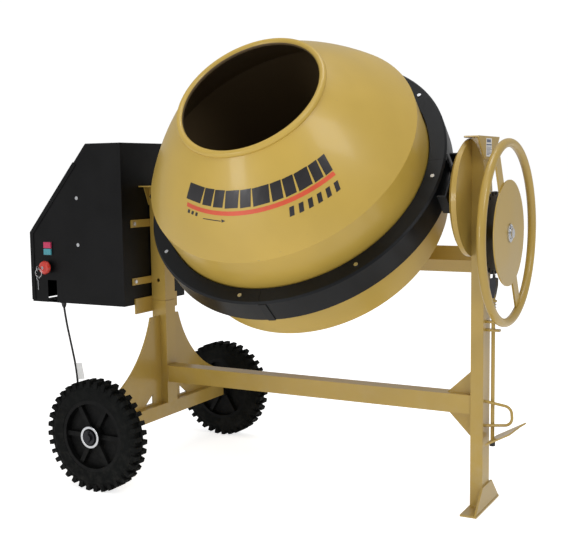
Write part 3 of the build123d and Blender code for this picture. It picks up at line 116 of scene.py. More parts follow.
# hub rings, welds, pedal spring and the label on the post
HUB_RING_RADIUS, HUB_BORE_RADIUS, HUB_RING_DEPTH = 0.0375, 0.029, 0.004
TUBE_HALF = 0.030                             # half the width of the square tube
BEAM_WELD_LOW, BEAM_WELD_HIGH, BEAM_WELD_TOP = 0.305, 0.361, 0.363
POST_FACE = 0.590 + SHIFT.x
FOOT_WELD = (0.592 + SHIFT.x, 0.628 + SHIFT.x)
FOOT_WELD_OUT, FOOT_WELD_UP = 0.035, 0.006
LABEL_SIZE = 0.056
LABEL_ROWS = (0.046, 0.040, 0.048, 0.034, 0.046, 0.042, 0.026)
PRINT_LIFT = 0.0003


# ---------------------------------------------------------------- what a user may change
class MixerSizes(bpy.types.PropertyGroup):
    """Sizes of the pieces that are added to the frame."""

    cord_width: FloatProperty(
        name="Cord width", description="Diameter of the supply cord",
        default=0.008, min=0.004, max=0.012, unit="LENGTH")
    coil_radius: FloatProperty(
        name="Coil radius", description="Outer turn of the coil, at the cord's middle",
        default=0.050, min=0.045, max=0.055, unit="LENGTH")
    decal_lift: FloatProperty(
        name="Decal thickness", description="Height of the decals above the paint",
        default=0.0006, min=0.0002, max=0.002, unit="LENGTH")
    bead_width: FloatProperty(
        name="Weld width", description="Width of the weld beads on the frame",
        default=0.007, min=0.003, max=0.012, unit="LENGTH")
    lens: FloatProperty(
        name="Lens", description="Focal length of the camera in millimetres",
        default=62.78, min=20, max=200)
    turn_points: IntProperty(
        name="Points in a turn", description="Control points in each turn of the coil",
        default=16, min=12, max=32)


class MixerColours(bpy.types.PropertyGroup):
    """Base colours of the finishes."""

    frame_paint: FloatVectorProperty(
        name="Frame paint", description="Ochre enamel on the frame and the handwheel",
        subtype="COLOR", size=3, min=0, max=1, default=(0.46, 0.305, 0.060))
    drum_paint: FloatVectorProperty(
        name="Drum paint", description="Ochre enamel on the drum",
        subtype="COLOR", size=3, min=0, max=1, default=(0.55, 0.370, 0.066))
    # painted shade: a dark colour that stands for the shade inside the drum
    drum_inside_shade: FloatVectorProperty(
        name="Drum inside", description="Painted shade inside the drum",
        subtype="COLOR", size=3, min=0, max=1, default=(0.15, 0.105, 0.055))
    powder_coat: FloatVectorProperty(
        name="Powder coat", description="Black powder coat of the motor cabinet",
        subtype="COLOR", size=3, min=0, max=1, default=(0.0042, 0.0042, 0.0046))
    guard: FloatVectorProperty(
        name="Guard plastic", description="Moulded guard round the ring gear",
        subtype="COLOR", size=3, min=0, max=1, default=(0.006, 0.0068, 0.0082))
    rubber: FloatVectorProperty(
        name="Tyre rubber", description="Rubber of the tyres",
        subtype="COLOR", size=3, min=0, max=1, default=(0.0062, 0.0068, 0.0066))
    decal_black: FloatVectorProperty(
        name="Decal black", description="Dark vinyl of the drum's decal",
        subtype="COLOR", size=3, min=0, max=1, default=(0.012, 0.010, 0.012))
    decal_red: FloatVectorProperty(
        name="Decal red", description="Stripe under the decal's bars",
        subtype="COLOR", size=3, min=0, max=1, default=(0.66, 0.085, 0.03))


OWN_FINISH = {"axle_bar": "dark_steel"}       # nodes that look unlike their slot's name

WORN_STEEL = (0.20, 0.17, 0.13)
DUST = (0.50, 0.45, 0.37)
DUST_ON_RUBBER = (0.30, 0.28, 0.25)

# finishes with a colour of their own: colour, roughness, grain scale, grain depth, the rest
FIXED_FINISHES = {
    "rim_plastic": ((0.004, 0.0042, 0.0042), 0.5, 1000.0, 0.2, {"dust": 0.03, "specular": 0.10}),
    "steel": ((0.42, 0.42, 0.43), 0.32, 500.0, 0.1, {"metallic": 1.0}),
    "zinc": ((0.68, 0.69, 0.71), 0.27, 420.0, 0.12, {"metallic": 1.0, "drift": 0.12}),
    "bronze": ((0.42, 0.27, 0.12), 0.42, 600.0, 0.12, {"metallic": 1.0}),
    "cast_iron": ((0.10, 0.10, 0.105), 0.58, 350.0, 0.5, {"metallic": 0.7}),
    "dark_steel": ((0.035, 0.035, 0.04), 0.42, 500.0, 0.15, {"metallic": 0.85}),
    "motor_paint": ((0.10, 0.12, 0.14), 0.45, 260.0, 0.5, {}),
    "belt_rubber": ((0.012, 0.012, 0.012), 0.75, 900.0, 0.3, {"specular": 0.3}),
    "switch_plastic": ((0.010, 0.010, 0.011), 0.28, 1300.0, 0.08, {"drift": 0.1}),
    "red_plastic": ((0.62, 0.045, 0.03), 0.25, 1300.0, 0.05, {"coat": 0.4, "drift": 0.08}),
    "stop_plastic": ((0.52, 0.03, 0.10), 0.3, 1300.0, 0.05, {"coat": 0.3, "drift": 0.08}),
    "start_plastic": ((0.06, 0.30, 0.36), 0.3, 1300.0, 0.05, {"coat": 0.3, "drift": 0.08}),
    "cord_rubber": ((0.010, 0.010, 0.010), 0.5, 1500.0, 0.15, {"dust": 0.1}),
    "paper": ((0.80, 0.80, 0.79), 0.5, 300.0, 0.1, {"drift": 0.03}),
    "label_ink": ((0.10, 0.13, 0.22), 0.4, 600.0, 0.03, {}),
}


# ---------------------------------------------------------------- object helpers
def sizes():
    return bpy.context.scene.mixer_sizes


def colours():
    return bpy.context.scene.mixer_colours


def pick(*pieces):
    """Select these pieces and nothing else; the first is active."""
    bpy.ops.object.select_all(action="DESELECT")
    for piece in pieces:
        piece.select_set(True)
    bpy.context.view_layer.objects.active = pieces[0]


def primitive(add, name, **where):
    """Add a primitive with nothing else selected and name it."""
    bpy.ops.object.select_all(action="DESELECT")
    add(**where)
    piece = bpy.context.object
    piece.name = name
    return piece


def apply_all(piece):
    """Apply a piece's modifiers, then put its place into its mesh."""
    pick(piece)
    for modifier in list(piece.modifiers):
        bpy.ops.object.modifier_apply(modifier=modifier.name)
    bpy.ops.object.transform_apply(location=True, rotation=True, scale=True)
    return piece


def join(name, pieces):
    """Make one piece of several."""
    pick(*pieces)
    bpy.ops.object.join()
    piece = bpy.context.object
    piece.name = name
    return piece


def ready(piece, body, material):
    """Give a finished piece its body, slot and material."""
    piece.data.materials.clear()
    piece.data.materials.append(bpy.data.materials[material])
    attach(piece, body)
    return piece


# ---------------------------------------------------------------- shader groups
def new_group(name, inputs, outputs):
    """An empty shader node group with float inputs and outputs."""
    group = bpy.data.node_groups.new(name, "ShaderNodeTree")
    for label, default in inputs:
        socket = group.interface.new_socket(label, in_out="INPUT", socket_type="NodeSocketFloat")
        socket.default_value = default
    for label in outputs:
        group.interface.new_socket(label, in_out="OUTPUT", socket_type="NodeSocketFloat")
    into = group.nodes.new("NodeGroupInput")
    out = group.nodes.new("NodeGroupOutput")
    return group, into, out


def node(tree, kind, **values):
    """Add a node; a value whose name is a socket sets that socket."""
    made = tree.nodes.new(kind)
    for key, value in values.items():
        if key in made.inputs:
            made.inputs[key].default_value = value
        else:
            setattr(made, key, value)
    return made


def sum_of(tree, operation, first, second, clamp=False):
    """A math node fed by two sockets or numbers."""
    made = node(tree, "ShaderNodeMath", operation=operation, use_clamp=clamp)
    for socket, value in zip(made.inputs, (first, second)):
        if isinstance(value, (int, float)):
            socket.default_value = value
        else:
            tree.links.new(value, socket)
    return made.outputs[0]


def noise(tree, where, scale, detail=4.0, rough=0.55):
    """A noise value on the given coordinates; the scale is a number or a socket."""
    made = node(tree, "ShaderNodeTexNoise", Detail=detail, Roughness=rough)
    tree.links.new(where, made.inputs["Vector"])
    if isinstance(scale, (int, float)):
        made.inputs["Scale"].default_value = scale
    else:
        tree.links.new(scale, made.inputs["Scale"])
    return made.outputs["Fac"]


def ramp(tree, value, low, high, to_low=0.0, to_high=1.0):
    """A smooth step from low to high."""
    made = node(tree, "ShaderNodeMapRange", interpolation_type="SMOOTHSTEP")
    for label, number in (("From Min", low), ("From Max", high),
                          ("To Min", to_low), ("To Max", to_high)):
        made.inputs[label].default_value = number
    tree.links.new(value, made.inputs["Value"])
    return made.outputs["Result"]


def coat_group():
    """Sprayed coat: broad tone drift, fine peel and sparse small scratches."""
    tree, into, out = new_group(
        "Sprayed coat", [("Peel scale", 220.0), ("Drift scale", 3.0), ("Scratches", 0.3)],
        ["Drift", "Peel", "Scratch"])
    place = node(tree, "ShaderNodeTexCoord").outputs["Object"]
    drift = noise(tree, place, into.outputs["Drift scale"], 3.0)
    tree.links.new(ramp(tree, drift, 0.3, 0.7), out.inputs["Drift"])
    tree.links.new(noise(tree, place, into.outputs["Peel scale"], 2.0), out.inputs["Peel"])
    stretch = node(tree, "ShaderNodeMapping")
    stretch.inputs["Scale"].default_value = (9.0, 60.0, 38.0)
    stretch.inputs["Rotation"].default_value = (0.5, 0.3, 0.9)
    tree.links.new(place, stretch.inputs["Vector"])
    lines = ramp(tree, noise(tree, stretch.outputs[0], 3.0, 2.0), 0.71, 0.76)
    patches = ramp(tree, noise(tree, place, 5.0, 2.0), 0.5, 0.62)
    mask = sum_of(tree, "MULTIPLY", lines, patches)
    tree.links.new(sum_of(tree, "MULTIPLY", mask, into.outputs["Scratches"], True),
                   out.inputs["Scratch"])


def dust_group():
    """Dust that settles low on the machine and in patches."""
    tree, into, out = new_group(
        "Yard dust", [("Top", 0.45), ("Amount", 0.3), ("Scale", 14.0)], ["Dust"])
    place = node(tree, "ShaderNodeTexCoord").outputs["Object"]
    split = node(tree, "ShaderNodeSeparateXYZ")
    tree.links.new(place, split.inputs[0])
    fall = sum_of(tree, "DIVIDE", split.outputs["Z"], into.outputs["Top"], True)
    low = sum_of(tree, "SUBTRACT", 1.0, fall, True)
    spots = ramp(tree, noise(tree, place, into.outputs["Scale"], 6.0, 0.65), 0.38, 0.75)
    mask = sum_of(tree, "MULTIPLY", low, spots)
    tree.links.new(sum_of(tree, "MULTIPLY", mask, into.outputs["Amount"], True),
                   out.inputs["Dust"])


def grain_group():
    """Fine moulded or cast grain and a slow mottle."""
    tree, into, out = new_group(
        "Moulded grain", [("Grain scale", 900.0), ("Mottle scale", 9.0)], ["Grain", "Mottle"])
    place = node(tree, "ShaderNodeTexCoord").outputs["Object"]
    tree.links.new(noise(tree, place, into.outputs["Grain scale"], 3.0, 0.7),
                   out.inputs["Grain"])
    mottle = noise(tree, place, into.outputs["Mottle scale"], 4.0)
    tree.links.new(ramp(tree, mottle, 0.3, 0.7), out.inputs["Mottle"])


# ---------------------------------------------------------------- materials
def start(name, rough, metallic=0.0, coat=0.0, specular=0.5):
    """A new material with its all-over values set on the shader's own sockets."""
    material = bpy.data.materials.new(name)
    material.use_nodes = True
    tree = material.node_tree
    shader = tree.nodes["Principled BSDF"]
    shader.inputs["Roughness"].default_value = rough
    shader.inputs["Metallic"].default_value = metallic
    shader.inputs["Coat Weight"].default_value = coat
    shader.inputs["Coat Roughness"].default_value = 0.12
    shader.inputs["Specular IOR Level"].default_value = specular
    return tree, shader


def use(tree, group, **values):
    """Place a shader group; an underscore in a value's name stands for a space."""
    made = tree.nodes.new("ShaderNodeGroup")
    made.node_tree = bpy.data.node_groups[group]
    for key, value in values.items():
        made.inputs[key.replace("_", " ")].default_value = value
    return made


def blend_colour(tree, mask, first, second):
    """Mix two colours or sockets by a mask."""
    made = node(tree, "ShaderNodeMix", data_type="RGBA")
    tree.links.new(mask, made.inputs[0])
    for socket, value in ((made.inputs[6], first), (made.inputs[7], second)):
        if hasattr(value, "is_output"):
            tree.links.new(value, socket)
        else:
            socket.default_value = (*value[:3], 1)
    return made.outputs[2]


def bump(tree, shader, height, strength, distance):
    """Feed a height to the shader's normal."""
    made = node(tree, "ShaderNodeBump", Strength=strength, Distance=distance)
    tree.links.new(height, made.inputs["Height"])
    tree.links.new(made.outputs[0], shader.inputs["Normal"])


def shade(colour, factor):
    """The same colour, lighter or darker."""
    return tuple(min(1.0, c * factor) for c in colour[:3])


def painted(name, colour, rough=0.36, dust=0.3, peel=0.12, scratches=0.5, coat=0.25,
            inside=None):
    """Enamel over steel, with peel, tone drift, scratches and low dust; when inside is given,
    painted shade darkens the faces that look into the drum.
    """
    tree, shader = start(name, rough, coat=coat)
    coat_node = use(tree, "Sprayed coat", Scratches=scratches)
    tone = blend_colour(tree, coat_node.outputs["Drift"], shade(colour, 0.93),
                        shade(colour, 1.05))
    if inside is not None:
        # darken the faces inside the drum with painted shade
        tone = blend_colour(tree, inner_face(tree), tone, inside)
    worn = blend_colour(tree, coat_node.outputs["Scratch"], tone, WORN_STEEL)
    dust_node = use(tree, "Yard dust", Amount=dust)
    final = blend_colour(tree, dust_node.outputs["Dust"], worn, DUST)
    tree.links.new(final, shader.inputs["Base Color"])
    gloss = ramp(tree, coat_node.outputs["Drift"], 0.0, 1.0, rough - 0.05, rough + 0.06)
    dull = sum_of(tree, "MULTIPLY", dust_node.outputs["Dust"], 0.5)
    dulled = sum_of(tree, "ADD", gloss, dull, True)
    tree.links.new(dulled, shader.inputs["Roughness"])
    bump(tree, shader, coat_node.outputs["Peel"], peel, 0.0006)


def inner_face(tree):
    """Mask of the faces that look into the drum, where the painted shade goes."""
    coord = node(tree, "ShaderNodeTexCoord")
    out = node(tree, "ShaderNodeVectorMath", operation="SUBTRACT")
    tree.links.new(coord.outputs["Object"], out.inputs[0])
    out.inputs[1].default_value = DRUM_MIDDLE + DRUM_AXIS * 0.1
    dot = node(tree, "ShaderNodeVectorMath", operation="DOT_PRODUCT")
    tree.links.new(coord.outputs["Normal"], dot.inputs[0])
    tree.links.new(out.outputs[0], dot.inputs[1])
    return ramp(tree, dot.outputs["Value"], INSIDE_FROM, INSIDE_TO)


def moulded(name, colour, rough, grain=900.0, depth=0.15, dust=0.0, coat=0.0, drift=0.25,
            metallic=0.0, specular=0.5):
    """Plastic, rubber, powder coat or metal with a fine grain and a slow mottle."""
    tree, shader = start(name, rough, metallic, coat, specular)
    grain_node = use(tree, "Moulded grain", Grain_scale=grain)
    tone = blend_colour(tree, grain_node.outputs["Mottle"], shade(colour, 1 - drift),
                        shade(colour, 1 + drift))
    gloss = ramp(tree, grain_node.outputs["Mottle"], 0.0, 1.0, rough * 0.86, min(1, rough * 1.12))
    if dust:
        dust_node = use(tree, "Yard dust", Amount=dust, Top=0.5, Scale=40.0)
        tone = blend_colour(tree, dust_node.outputs["Dust"], tone,
                            DUST_ON_RUBBER)
    tree.links.new(tone, shader.inputs["Base Color"])
    tree.links.new(gloss, shader.inputs["Roughness"])
    bump(tree, shader, grain_node.outputs["Grain"], depth, 0.0005)


class MIXER_OT_materials(bpy.types.Operator):
    """Make every finish and put it on the CAD nodes"""

    bl_idname = "mixer.materials"
    bl_label = "Finishes"

    def execute(self, context):
        for plain in list(bpy.data.materials):               # so that these names are free
            bpy.data.materials.remove(plain)
        coat_group()
        dust_group()
        grain_group()
        tint = colours()
        painted("frame_paint", tint.frame_paint)
        # the drum's paint gets painted shade on its inside faces
        painted("drum_paint", tint.drum_paint, rough=0.38, dust=0.0, peel=0.08, scratches=0.35,
                coat=0.15, inside=tint.drum_inside_shade)
        moulded("cabinet_paint", tint.powder_coat, 0.42, 1400.0, 0.35, drift=0.15, specular=0.16)
        moulded("guard_plastic", tint.guard, 0.33, 1100.0, 0.12, drift=0.2, specular=0.22)
        moulded("tyre_rubber", tint.rubber, 0.75, 700.0, 0.4, dust=0.05, specular=0.06)
        moulded("decal_black", tint.decal_black, 0.35, 600.0, 0.04, drift=0.3, coat=0.2)
        moulded("decal_red", tint.decal_red, 0.35, 600.0, 0.04, drift=0.08, coat=0.2)
        for name, (colour, rough, grain, depth, more) in FIXED_FINISHES.items():
            moulded(name, colour, rough, grain, depth, **more)
        for part in frame["record"]["subparts"]:
            finish = OWN_FINISH.get(part["node"], part["material_slot"])
            for slot in NODES[part["node"]].material_slots:
                slot.material = bpy.data.materials[finish]
        return {"FINISHED"}


# ---------------------------------------------------------------- camera and stage
class MIXER_OT_camera(bpy.types.Operator):
    """Place the camera"""

    bl_idname = "mixer.camera"
    bl_label = "Camera"

    def execute(self, context):
        azimuth, pitch, roll = (math.radians(a) for a in CAMERA_TURN)
        ahead = Vector((-math.sin(azimuth) * math.cos(pitch),
                        math.cos(azimuth) * math.cos(pitch), -math.sin(pitch)))
        right = Vector((math.cos(azimuth), math.sin(azimuth), 0))
        up = right.cross(ahead)
        c, s = math.cos(roll), math.sin(roll)
        side, top = right * c + up * s, up * c - right * s
        bpy.ops.object.camera_add()
        camera = bpy.context.object
        camera.name = "mixer_camera"
        turn = Matrix((side, top, -ahead)).transposed().to_4x4()
        camera.matrix_world = Matrix.Translation(CAMERA_PLACE) @ turn
        camera.data.lens = sizes().lens
        camera.data.clip_start, camera.data.clip_end = 0.1, 60
        context.scene.camera = camera
        return {"FINISHED"}


class MIXER_OT_stage(bpy.types.Operator):
    """Add the floor, the softboxes and the pale surroundings"""

    bl_idname = "mixer.stage"
    bl_label = "Stage"

    def execute(self, context):
        self.add_floor()
        self.add_surroundings(context)
        for softbox in SOFTBOXES:
            self.add_softbox(*softbox)
        context.scene.view_settings.view_transform = "Standard"
        return {"FINISHED"}

    @staticmethod
    def add_floor():
        floor = primitive(bpy.ops.mesh.primitive_plane_add, "floor", size=FLOOR_WIDTH,
                          location=(0, 2, 0))
        bpy.ops.object.mode_set(mode="EDIT")
        bpy.ops.mesh.subdivide(number_cuts=3)
        bpy.ops.object.mode_set(mode="OBJECT")
        tree, shader = start("floor_paper", 0.7, specular=0.1)
        shader.inputs["Emission Color"].default_value = (1, 1, 1, 1)
        glow = node(tree, "ShaderNodeMapRange", **FLOOR_GLOW)
        seen = node(tree, "ShaderNodeLightPath").outputs["Is Camera Ray"]
        tree.links.new(seen, glow.inputs[0])
        tree.links.new(glow.outputs[0], shader.inputs["Emission Strength"])
        place = node(tree, "ShaderNodeTexCoord").outputs["Object"]
        tone = blend_colour(tree, noise(tree, place, 1.5), (0.86, 0.86, 0.86),
                            (0.90, 0.90, 0.90))
        tree.links.new(tone, shader.inputs["Base Color"])
        floor.data.materials.append(bpy.data.materials["floor_paper"])

    @staticmethod
    def add_surroundings(context):
        world = bpy.data.worlds.new("pale_studio")
        context.scene.world = world
        world.use_nodes = True
        sky = world.node_tree
        light = sky.nodes["Background"]
        light.inputs["Color"].default_value = (1, 1, 1, 1)
        light.inputs["Strength"].default_value = AMBIENT
        backdrop = node(sky, "ShaderNodeBackground", Strength=BACKDROP)
        backdrop.inputs["Color"].default_value = (1, 1, 1, 1)
        choose = node(sky, "ShaderNodeMixShader")
        seen = node(sky, "ShaderNodeLightPath").outputs["Is Camera Ray"]
        sky.links.new(seen, choose.inputs[0])
        sky.links.new(light.outputs[0], choose.inputs[1])
        sky.links.new(backdrop.outputs[0], choose.inputs[2])
        sky.links.new(choose.outputs[0], sky.nodes["World Output"].inputs[0])

    @staticmethod
    def add_softbox(name, place, aim, size, power):
        bpy.ops.object.light_add(type="AREA", location=place)
        lamp = bpy.context.object
        lamp.name = name
        ahead = Vector(aim) - Vector(place)
        lamp.rotation_euler = ahead.to_track_quat("-Z", "Y").to_euler()
        lamp.data.shape = "SQUARE"
        lamp.data.size = size
        lamp.data.energy = power


# ---------------------------------------------------------------- supply cord
def metres(x, y, z):
    """A place in the drawing's millimetres as a place in the frame."""
    return Vector((x, y, z)) / 1000 + SHIFT


def share_of(turn, start, lasts):
    """How much of a change that starts at one turn and lasts a while is done, 0 to 1."""
    return min(1, max(0, (turn - start) / lasts))


class MIXER_OT_cord(bpy.types.Operator):
    """Lay the supply cord from the cabinet's floor to its coil"""

    bl_idname = "mixer.cord"
    bl_label = "Supply cord"

    def execute(self, context):
        size = sizes()
        outer, count = size.coil_radius, size.turn_points
        inner = outer - size.cord_width * 1.15
        low, high = size.cord_width / 2 + 0.0002, size.cord_width * 1.52 + 0.0005
        route = [metres(*p) for p in CORD_ROUTE]
        middle = metres(*COIL_MIDDLE, 0)
        swell = 1 / math.cos(math.pi / count)                # the curve cuts its corners
        for step in range(int(COIL_TURNS * count)):
            turn = step / count
            angle = COIL_START + math.tau * turn
            drawn, freed = share_of(turn, *COIL_IN), share_of(turn, *COIL_OUT)
            radius = (outer + (inner - outer) * drawn + (outer - inner) * freed) * swell
            lift = low + (high - low) * share_of(turn, *COIL_UP)
            spot = Vector((radius * math.cos(angle), radius * math.sin(angle), lift))
            route.append(middle + spot)
        route += [metres(*p) for p in COIL_END]
        curve = bpy.data.curves.new("supply_cord", "CURVE")
        curve.dimensions = "3D"
        spline = curve.splines.new("NURBS")
        spline.points.add(len(route) - 1)
        for point, place in zip(spline.points, route):
            point.co = (*place, 1)
        spline.order_u = 3
        spline.use_endpoint_u = True
        spline.resolution_u = 8
        curve.bevel_depth = size.cord_width / 2
        curve.bevel_resolution = 4
        curve.use_fill_caps = True
        cord = bpy.data.objects.new("supply_cord", curve)
        context.scene.collection.objects.link(cord)
        ready(cord, "frame", "cord_rubber")
        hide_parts("power_cord", "cord_coil")
        return {"FINISHED"}


# ---------------------------------------------------------------- decals
def cone_radius(along):
    """Radius of the drum's upper cone at a distance along its axis."""
    share = (along - CONE_LOW[0]) / (CONE_HIGH[0] - CONE_LOW[0])
    straight = CONE_LOW[1] + (CONE_HIGH[1] - CONE_LOW[1]) * share
    return straight + CONE_BULGE * 4 * share * (1 - share)


def on_cone(angle, along):
    """A place that stands on the drum's cone: X runs round it and Y up it."""
    turn = math.radians(angle)
    out = DRUM_FRONT * math.cos(turn) + Vector((1, 0, 0)) * math.sin(turn)
    around = Vector((1, 0, 0)) * math.cos(turn) - DRUM_FRONT * math.sin(turn)
    length, growth = CONE_HIGH[0] - CONE_LOW[0], CONE_HIGH[1] - CONE_LOW[1]
    rise = (DRUM_AXIS * length + out * growth).normalized()
    place = DRUM_MIDDLE + DRUM_AXIS * along + out * cone_radius(along)
    normal = around.cross(rise)
    return Matrix.Translation(place) @ Matrix((around, rise, normal)).transposed().to_4x4()


def vinyl(name, angle, along, wide, high, columns, rows, lean=0.0, taper=0.0):
    """A thin patch of vinyl, cut to size in millimetres and pressed on the drum."""
    patch = primitive(bpy.ops.mesh.primitive_grid_add, name, size=1,
                      x_subdivisions=columns, y_subdivisions=rows)
    wide, high = wide / 1000, high / 1000
    for vertex in patch.data.vertices:
        x, y = vertex.co.x, vertex.co.y
        vertex.co.x = x * wide + y * high * lean
        vertex.co.y = y * high * (1 + taper * (x + 0.5))
    patch.matrix_world = on_cone(angle, along) @ Matrix.Translation((0, 0, PRESS_FROM))
    wrap = patch.modifiers.new("press", "SHRINKWRAP")
    wrap.target = NODES["upper_shell"]
    wrap.wrap_method = "PROJECT"
    wrap.use_project_z = True
    wrap.use_negative_direction = True
    wrap.use_positive_direction = False
    pick(patch)
    bpy.ops.object.modifier_apply(modifier=wrap.name)
    for vertex in patch.data.vertices:
        vertex.co.z += sizes().decal_lift
    sheet = patch.modifiers.new("sheet", "SOLIDIFY")
    sheet.thickness = sizes().decal_lift
    sheet.offset = -1
    return apply_all(patch)


class MIXER_OT_drum_decal(bpy.types.Operator):
    """Press the plain bar decal and its stripe on the drum"""

    bl_idname = "mixer.drum_decal"
    bl_label = "Drum decal"

    def execute(self, context):
        dark = join("decal_bars", self.bars() + self.small_marks())
        ready(dark, "drum", "decal_black")
        ready(join("decal_stripe", self.stripe()), "drum", "decal_red")
        return {"FINISHED"}

    @staticmethod
    def bars():
        """Bars side by side round the drum, each a little lower than the last."""
        made, angle = [], BAR_START
        for order, wide in enumerate(BAR_WIDTHS):
            along = BAR_ALONG - BAR_DROP * order
            reach = math.degrees(wide / 1000 / cone_radius(along))
            made.append(vinyl(f"bar_{order}", angle + reach / 2, along, wide, BAR_HEIGHT,
                              8, 8, lean=0.2))
            angle += reach + math.degrees(DECAL_GAP / cone_radius(along))
        return made

    @staticmethod
    def small_marks():
        """A row of fine bars, three dots and a plain arrow under the stripe."""
        made = [vinyl(f"fine_bar_{order}", 31.0 + 4.4 * order, 0.338 - 0.0008 * order,
                      15, 26, 4, 4, lean=0.35) for order in range(6)]
        made += [vinyl(f"dot_{order}", -22.5 + 2.6 * order, 0.352, 9, 11, 3, 3, lean=0.2)
                 for order in range(3)]
        made.append(vinyl("arrow_line", -8.0, 0.3475, 66, 2.5, 10, 2))
        made.append(vinyl("arrow_head", -1.6, 0.3473, 12, 10, 4, 4, taper=-0.9))
        return made

    @staticmethod
    def stripe():
        """Short lengths end to end, so that the stripe follows the cone."""
        made, reach = [], STRIPE_TO - STRIPE_FROM
        for order in range(STRIPE_CUTS):
            share = order / (STRIPE_CUTS - 1)
            along = STRIPE_ALONG - STRIPE_DROP * share
            step = math.radians(reach / (STRIPE_CUTS - 1)) * cone_radius(along)
            made.append(vinyl(f"stripe_{order}", STRIPE_FROM + reach * share, along,
                              1000 * step * STRIPE_OVERLAP, STRIPE_HEIGHT, 3, 3))
        return made


class MIXER_OT_hub_rings(bpy.types.Operator):
    """Fit the plated ring on the outer face of each wheel's hub"""

    bl_idname = "mixer.hub_rings"
    bl_label = "Hub rings"

    def execute(self, context):
        for name, side in (("front_wheel", -1), ("back_wheel", 1)):
            low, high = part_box(f"{name}_rim")
            middle = (low + high) / 2
            face = low.y if side < 0 else high.y
            ring = primitive(bpy.ops.mesh.primitive_cylinder_add, f"{name}_hub_ring",
                             vertices=64, radius=HUB_RING_RADIUS, depth=HUB_RING_DEPTH,
                             end_fill_type="NGON",
                             location=(middle.x, face + side * HUB_RING_DEPTH / 2, middle.z),
                             rotation=(math.pi / 2, 0, 0))
            bpy.ops.object.mode_set(mode="EDIT")
            bpy.ops.mesh.select_all(action="SELECT")
            bpy.ops.mesh.normals_make_consistent(inside=False)
            bpy.ops.object.mode_set(mode="OBJECT")
            bore = primitive(bpy.ops.mesh.primitive_cylinder_add, "bore", vertices=64,
                             radius=HUB_BORE_RADIUS, depth=HUB_RING_DEPTH * 5,
                             location=ring.location,
                             rotation=(math.pi / 2, 0, 0))
            cut = ring.modifiers.new("bore", "BOOLEAN")
            cut.operation, cut.object, cut.solver = "DIFFERENCE", bore, "EXACT"
            edge = ring.modifiers.new("edge", "BEVEL")
            edge.width, edge.segments, edge.limit_method = 0.0012, 3, "ANGLE"
            apply_all(ring)
            bpy.data.objects.remove(bore)
            pick(ring)
            bpy.ops.object.shade_smooth_by_angle(angle=math.radians(40))
            ready(ring, name, "zinc")
        return {"FINISHED"}


def weld(name, first, last, width):
    """A rippled bead from one place to another."""
    run = Vector(last) - Vector(first)
    pitch = width * 0.42
    scale = primitive(bpy.ops.mesh.primitive_uv_sphere_add, name, segments=10, ring_count=6,
                      radius=width / 2, location=first)
    scale.scale = (0.62, 1.0, 0.72)
    bpy.ops.object.transform_apply(location=False, rotation=False, scale=True)
    repeat = scale.modifiers.new("ripples", "ARRAY")
    repeat.use_relative_offset = False
    repeat.use_constant_offset = True
    repeat.constant_offset_displace = (pitch, 0, 0)
    repeat.count = max(2, int(run.length / pitch))
    scale.rotation_euler = run.to_track_quat("X", "Z").to_euler()
    apply_all(scale)
    pick(scale)
    bpy.ops.object.shade_smooth()
    return scale


class MIXER_OT_welds(bpy.types.Operator):
    """Run weld beads along the frame's joints"""

    bl_idname = "mixer.welds"
    bl_label = "Weld beads"

    def execute(self, context):
        wide = sizes().bead_width
        column_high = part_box("lower_column")[1]
        front, back = SHIFT.y - TUBE_HALF, SHIFT.y + TUBE_HALF
        beads = []
        for x in (column_high.x, POST_FACE):
            for y in (front, back):
                beads.append(((x, y, BEAM_WELD_LOW), (x, y, BEAM_WELD_HIGH)))
            beads.append(((x, front, BEAM_WELD_TOP), (x, back, BEAM_WELD_TOP)))
        for side in (-1, 1):
            y = SHIFT.y + side * FOOT_WELD_OUT
            beads.append(((FOOT_WELD[0], y, FOOT_WELD_UP), (FOOT_WELD[1], y, FOOT_WELD_UP)))
        pieces = [weld(f"bead_{i}", a, b, wide) for i, (a, b) in enumerate(beads)]
        ready(join("frame_welds", pieces), "frame", "frame_paint")
        return {"FINISHED"}


class MIXER_OT_pedal_spring(bpy.types.Operator):
    """Copy the pedal's return spring into a mesh of its own on the frame, with its doubled points
    merged
    """

    bl_idname = "mixer.pedal_spring"
    bl_label = "Pedal spring"

    def execute(self, context):
        solid = NODES["return_spring"]
        spring = bpy.data.objects.new("pedal_spring", solid.data.copy())
        spring.matrix_world = solid.matrix_world.copy()
        context.scene.collection.objects.link(spring)
        pick(spring)
        bpy.ops.object.mode_set(mode="EDIT")
        bpy.ops.mesh.select_all(action="SELECT")
        bpy.ops.mesh.remove_doubles(threshold=0.00001)
        bpy.ops.object.mode_set(mode="OBJECT")
        ready(spring, "frame", "steel")
        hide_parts("return_spring")
        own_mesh(spring)
        return {"FINISHED"}


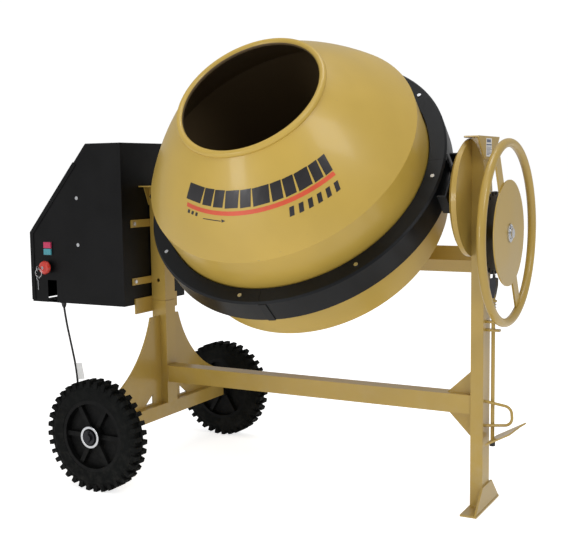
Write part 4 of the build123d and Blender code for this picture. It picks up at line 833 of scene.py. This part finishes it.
class MIXER_OT_post_label(bpy.types.Operator):
    """Stick the plain information label on the post's cap"""

    bl_idname = "mixer.post_label"
    bl_label = "Post label"

    def execute(self, context):
        low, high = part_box("post_cap")
        face = high.x + 0.0002
        left, top = SHIFT.y - 0.032, high.z - 0.006

        def slip(name, y, z, wide, tall, lift):
            """A thin slip with rounded corners, by its upper left corner."""
            piece = primitive(bpy.ops.mesh.primitive_plane_add, name, size=1,
                              location=(face + lift, y + wide / 2, z - tall / 2),
                              rotation=(math.pi / 2, 0, math.pi / 2))
            piece.scale = (wide, tall, 1)
            rim = piece.modifiers.new("rounded", "BEVEL")
            rim.affect = "VERTICES"
            rim.width = min(wide, tall) * 0.06
            rim.segments = 4
            skin = piece.modifiers.new("sheet", "SOLIDIFY")
            skin.thickness = 0.0002
            skin.offset = 1
            return apply_all(piece)

        label = slip("post_label", left, top, LABEL_SIZE, LABEL_SIZE, 0)
        ready(label, "frame", "paper")
        marks = [slip("head", left + 0.006, top - 0.004, 0.040, 0.009, PRINT_LIFT),
                 slip("band", left + 0.003, top - 0.018, 0.050, 0.004, PRINT_LIFT)]
        for row, reach in enumerate(LABEL_ROWS):
            marks.append(slip(f"row_{row}", left + 0.005, top - 0.0265 - 0.0038 * row,
                              reach, 0.0016, PRINT_LIFT))
        ready(join("post_label_print", marks), "frame", "label_ink")
        return {"FINISHED"}


# ---------------------------------------------------------------- panel and registration
STEPS = ("camera", "materials", "cord", "stage", "drum_decal", "post_label", "hub_rings",
         "welds", "pedal_spring")


class MIXER_PT_looks(bpy.types.Panel):
    """Sidebar panel with every step of the looks"""

    bl_idname = "MIXER_PT_looks"
    bl_label = "Concrete mixer"
    bl_space_type = "VIEW_3D"
    bl_region_type = "UI"
    bl_category = "Mixer"

    def draw(self, context):
        for group in (context.scene.mixer_sizes, context.scene.mixer_colours):
            for name in group.bl_rna.properties.keys():
                if name not in ("rna_type", "name"):
                    self.layout.prop(group, name)
        for step in STEPS:
            self.layout.operator(f"mixer.{step}")


CLASSES = (MixerSizes, MixerColours, MIXER_OT_camera, MIXER_OT_materials, MIXER_OT_cord,
           MIXER_OT_stage, MIXER_OT_drum_decal, MIXER_OT_post_label, MIXER_OT_hub_rings,
           MIXER_OT_welds, MIXER_OT_pedal_spring, MIXER_PT_looks)


def register():
    for made in CLASSES:
        bpy.utils.register_class(made)
    bpy.types.Scene.mixer_sizes = PointerProperty(type=MixerSizes)
    bpy.types.Scene.mixer_colours = PointerProperty(type=MixerColours)


def unregister():
    del bpy.types.Scene.mixer_colours
    del bpy.types.Scene.mixer_sizes
    for made in reversed(CLASSES):
        bpy.utils.unregister_class(made)


def main():
    register()
    for step in STEPS:
        getattr(bpy.ops.mixer, step)()


if __name__ == "__main__":
    main()
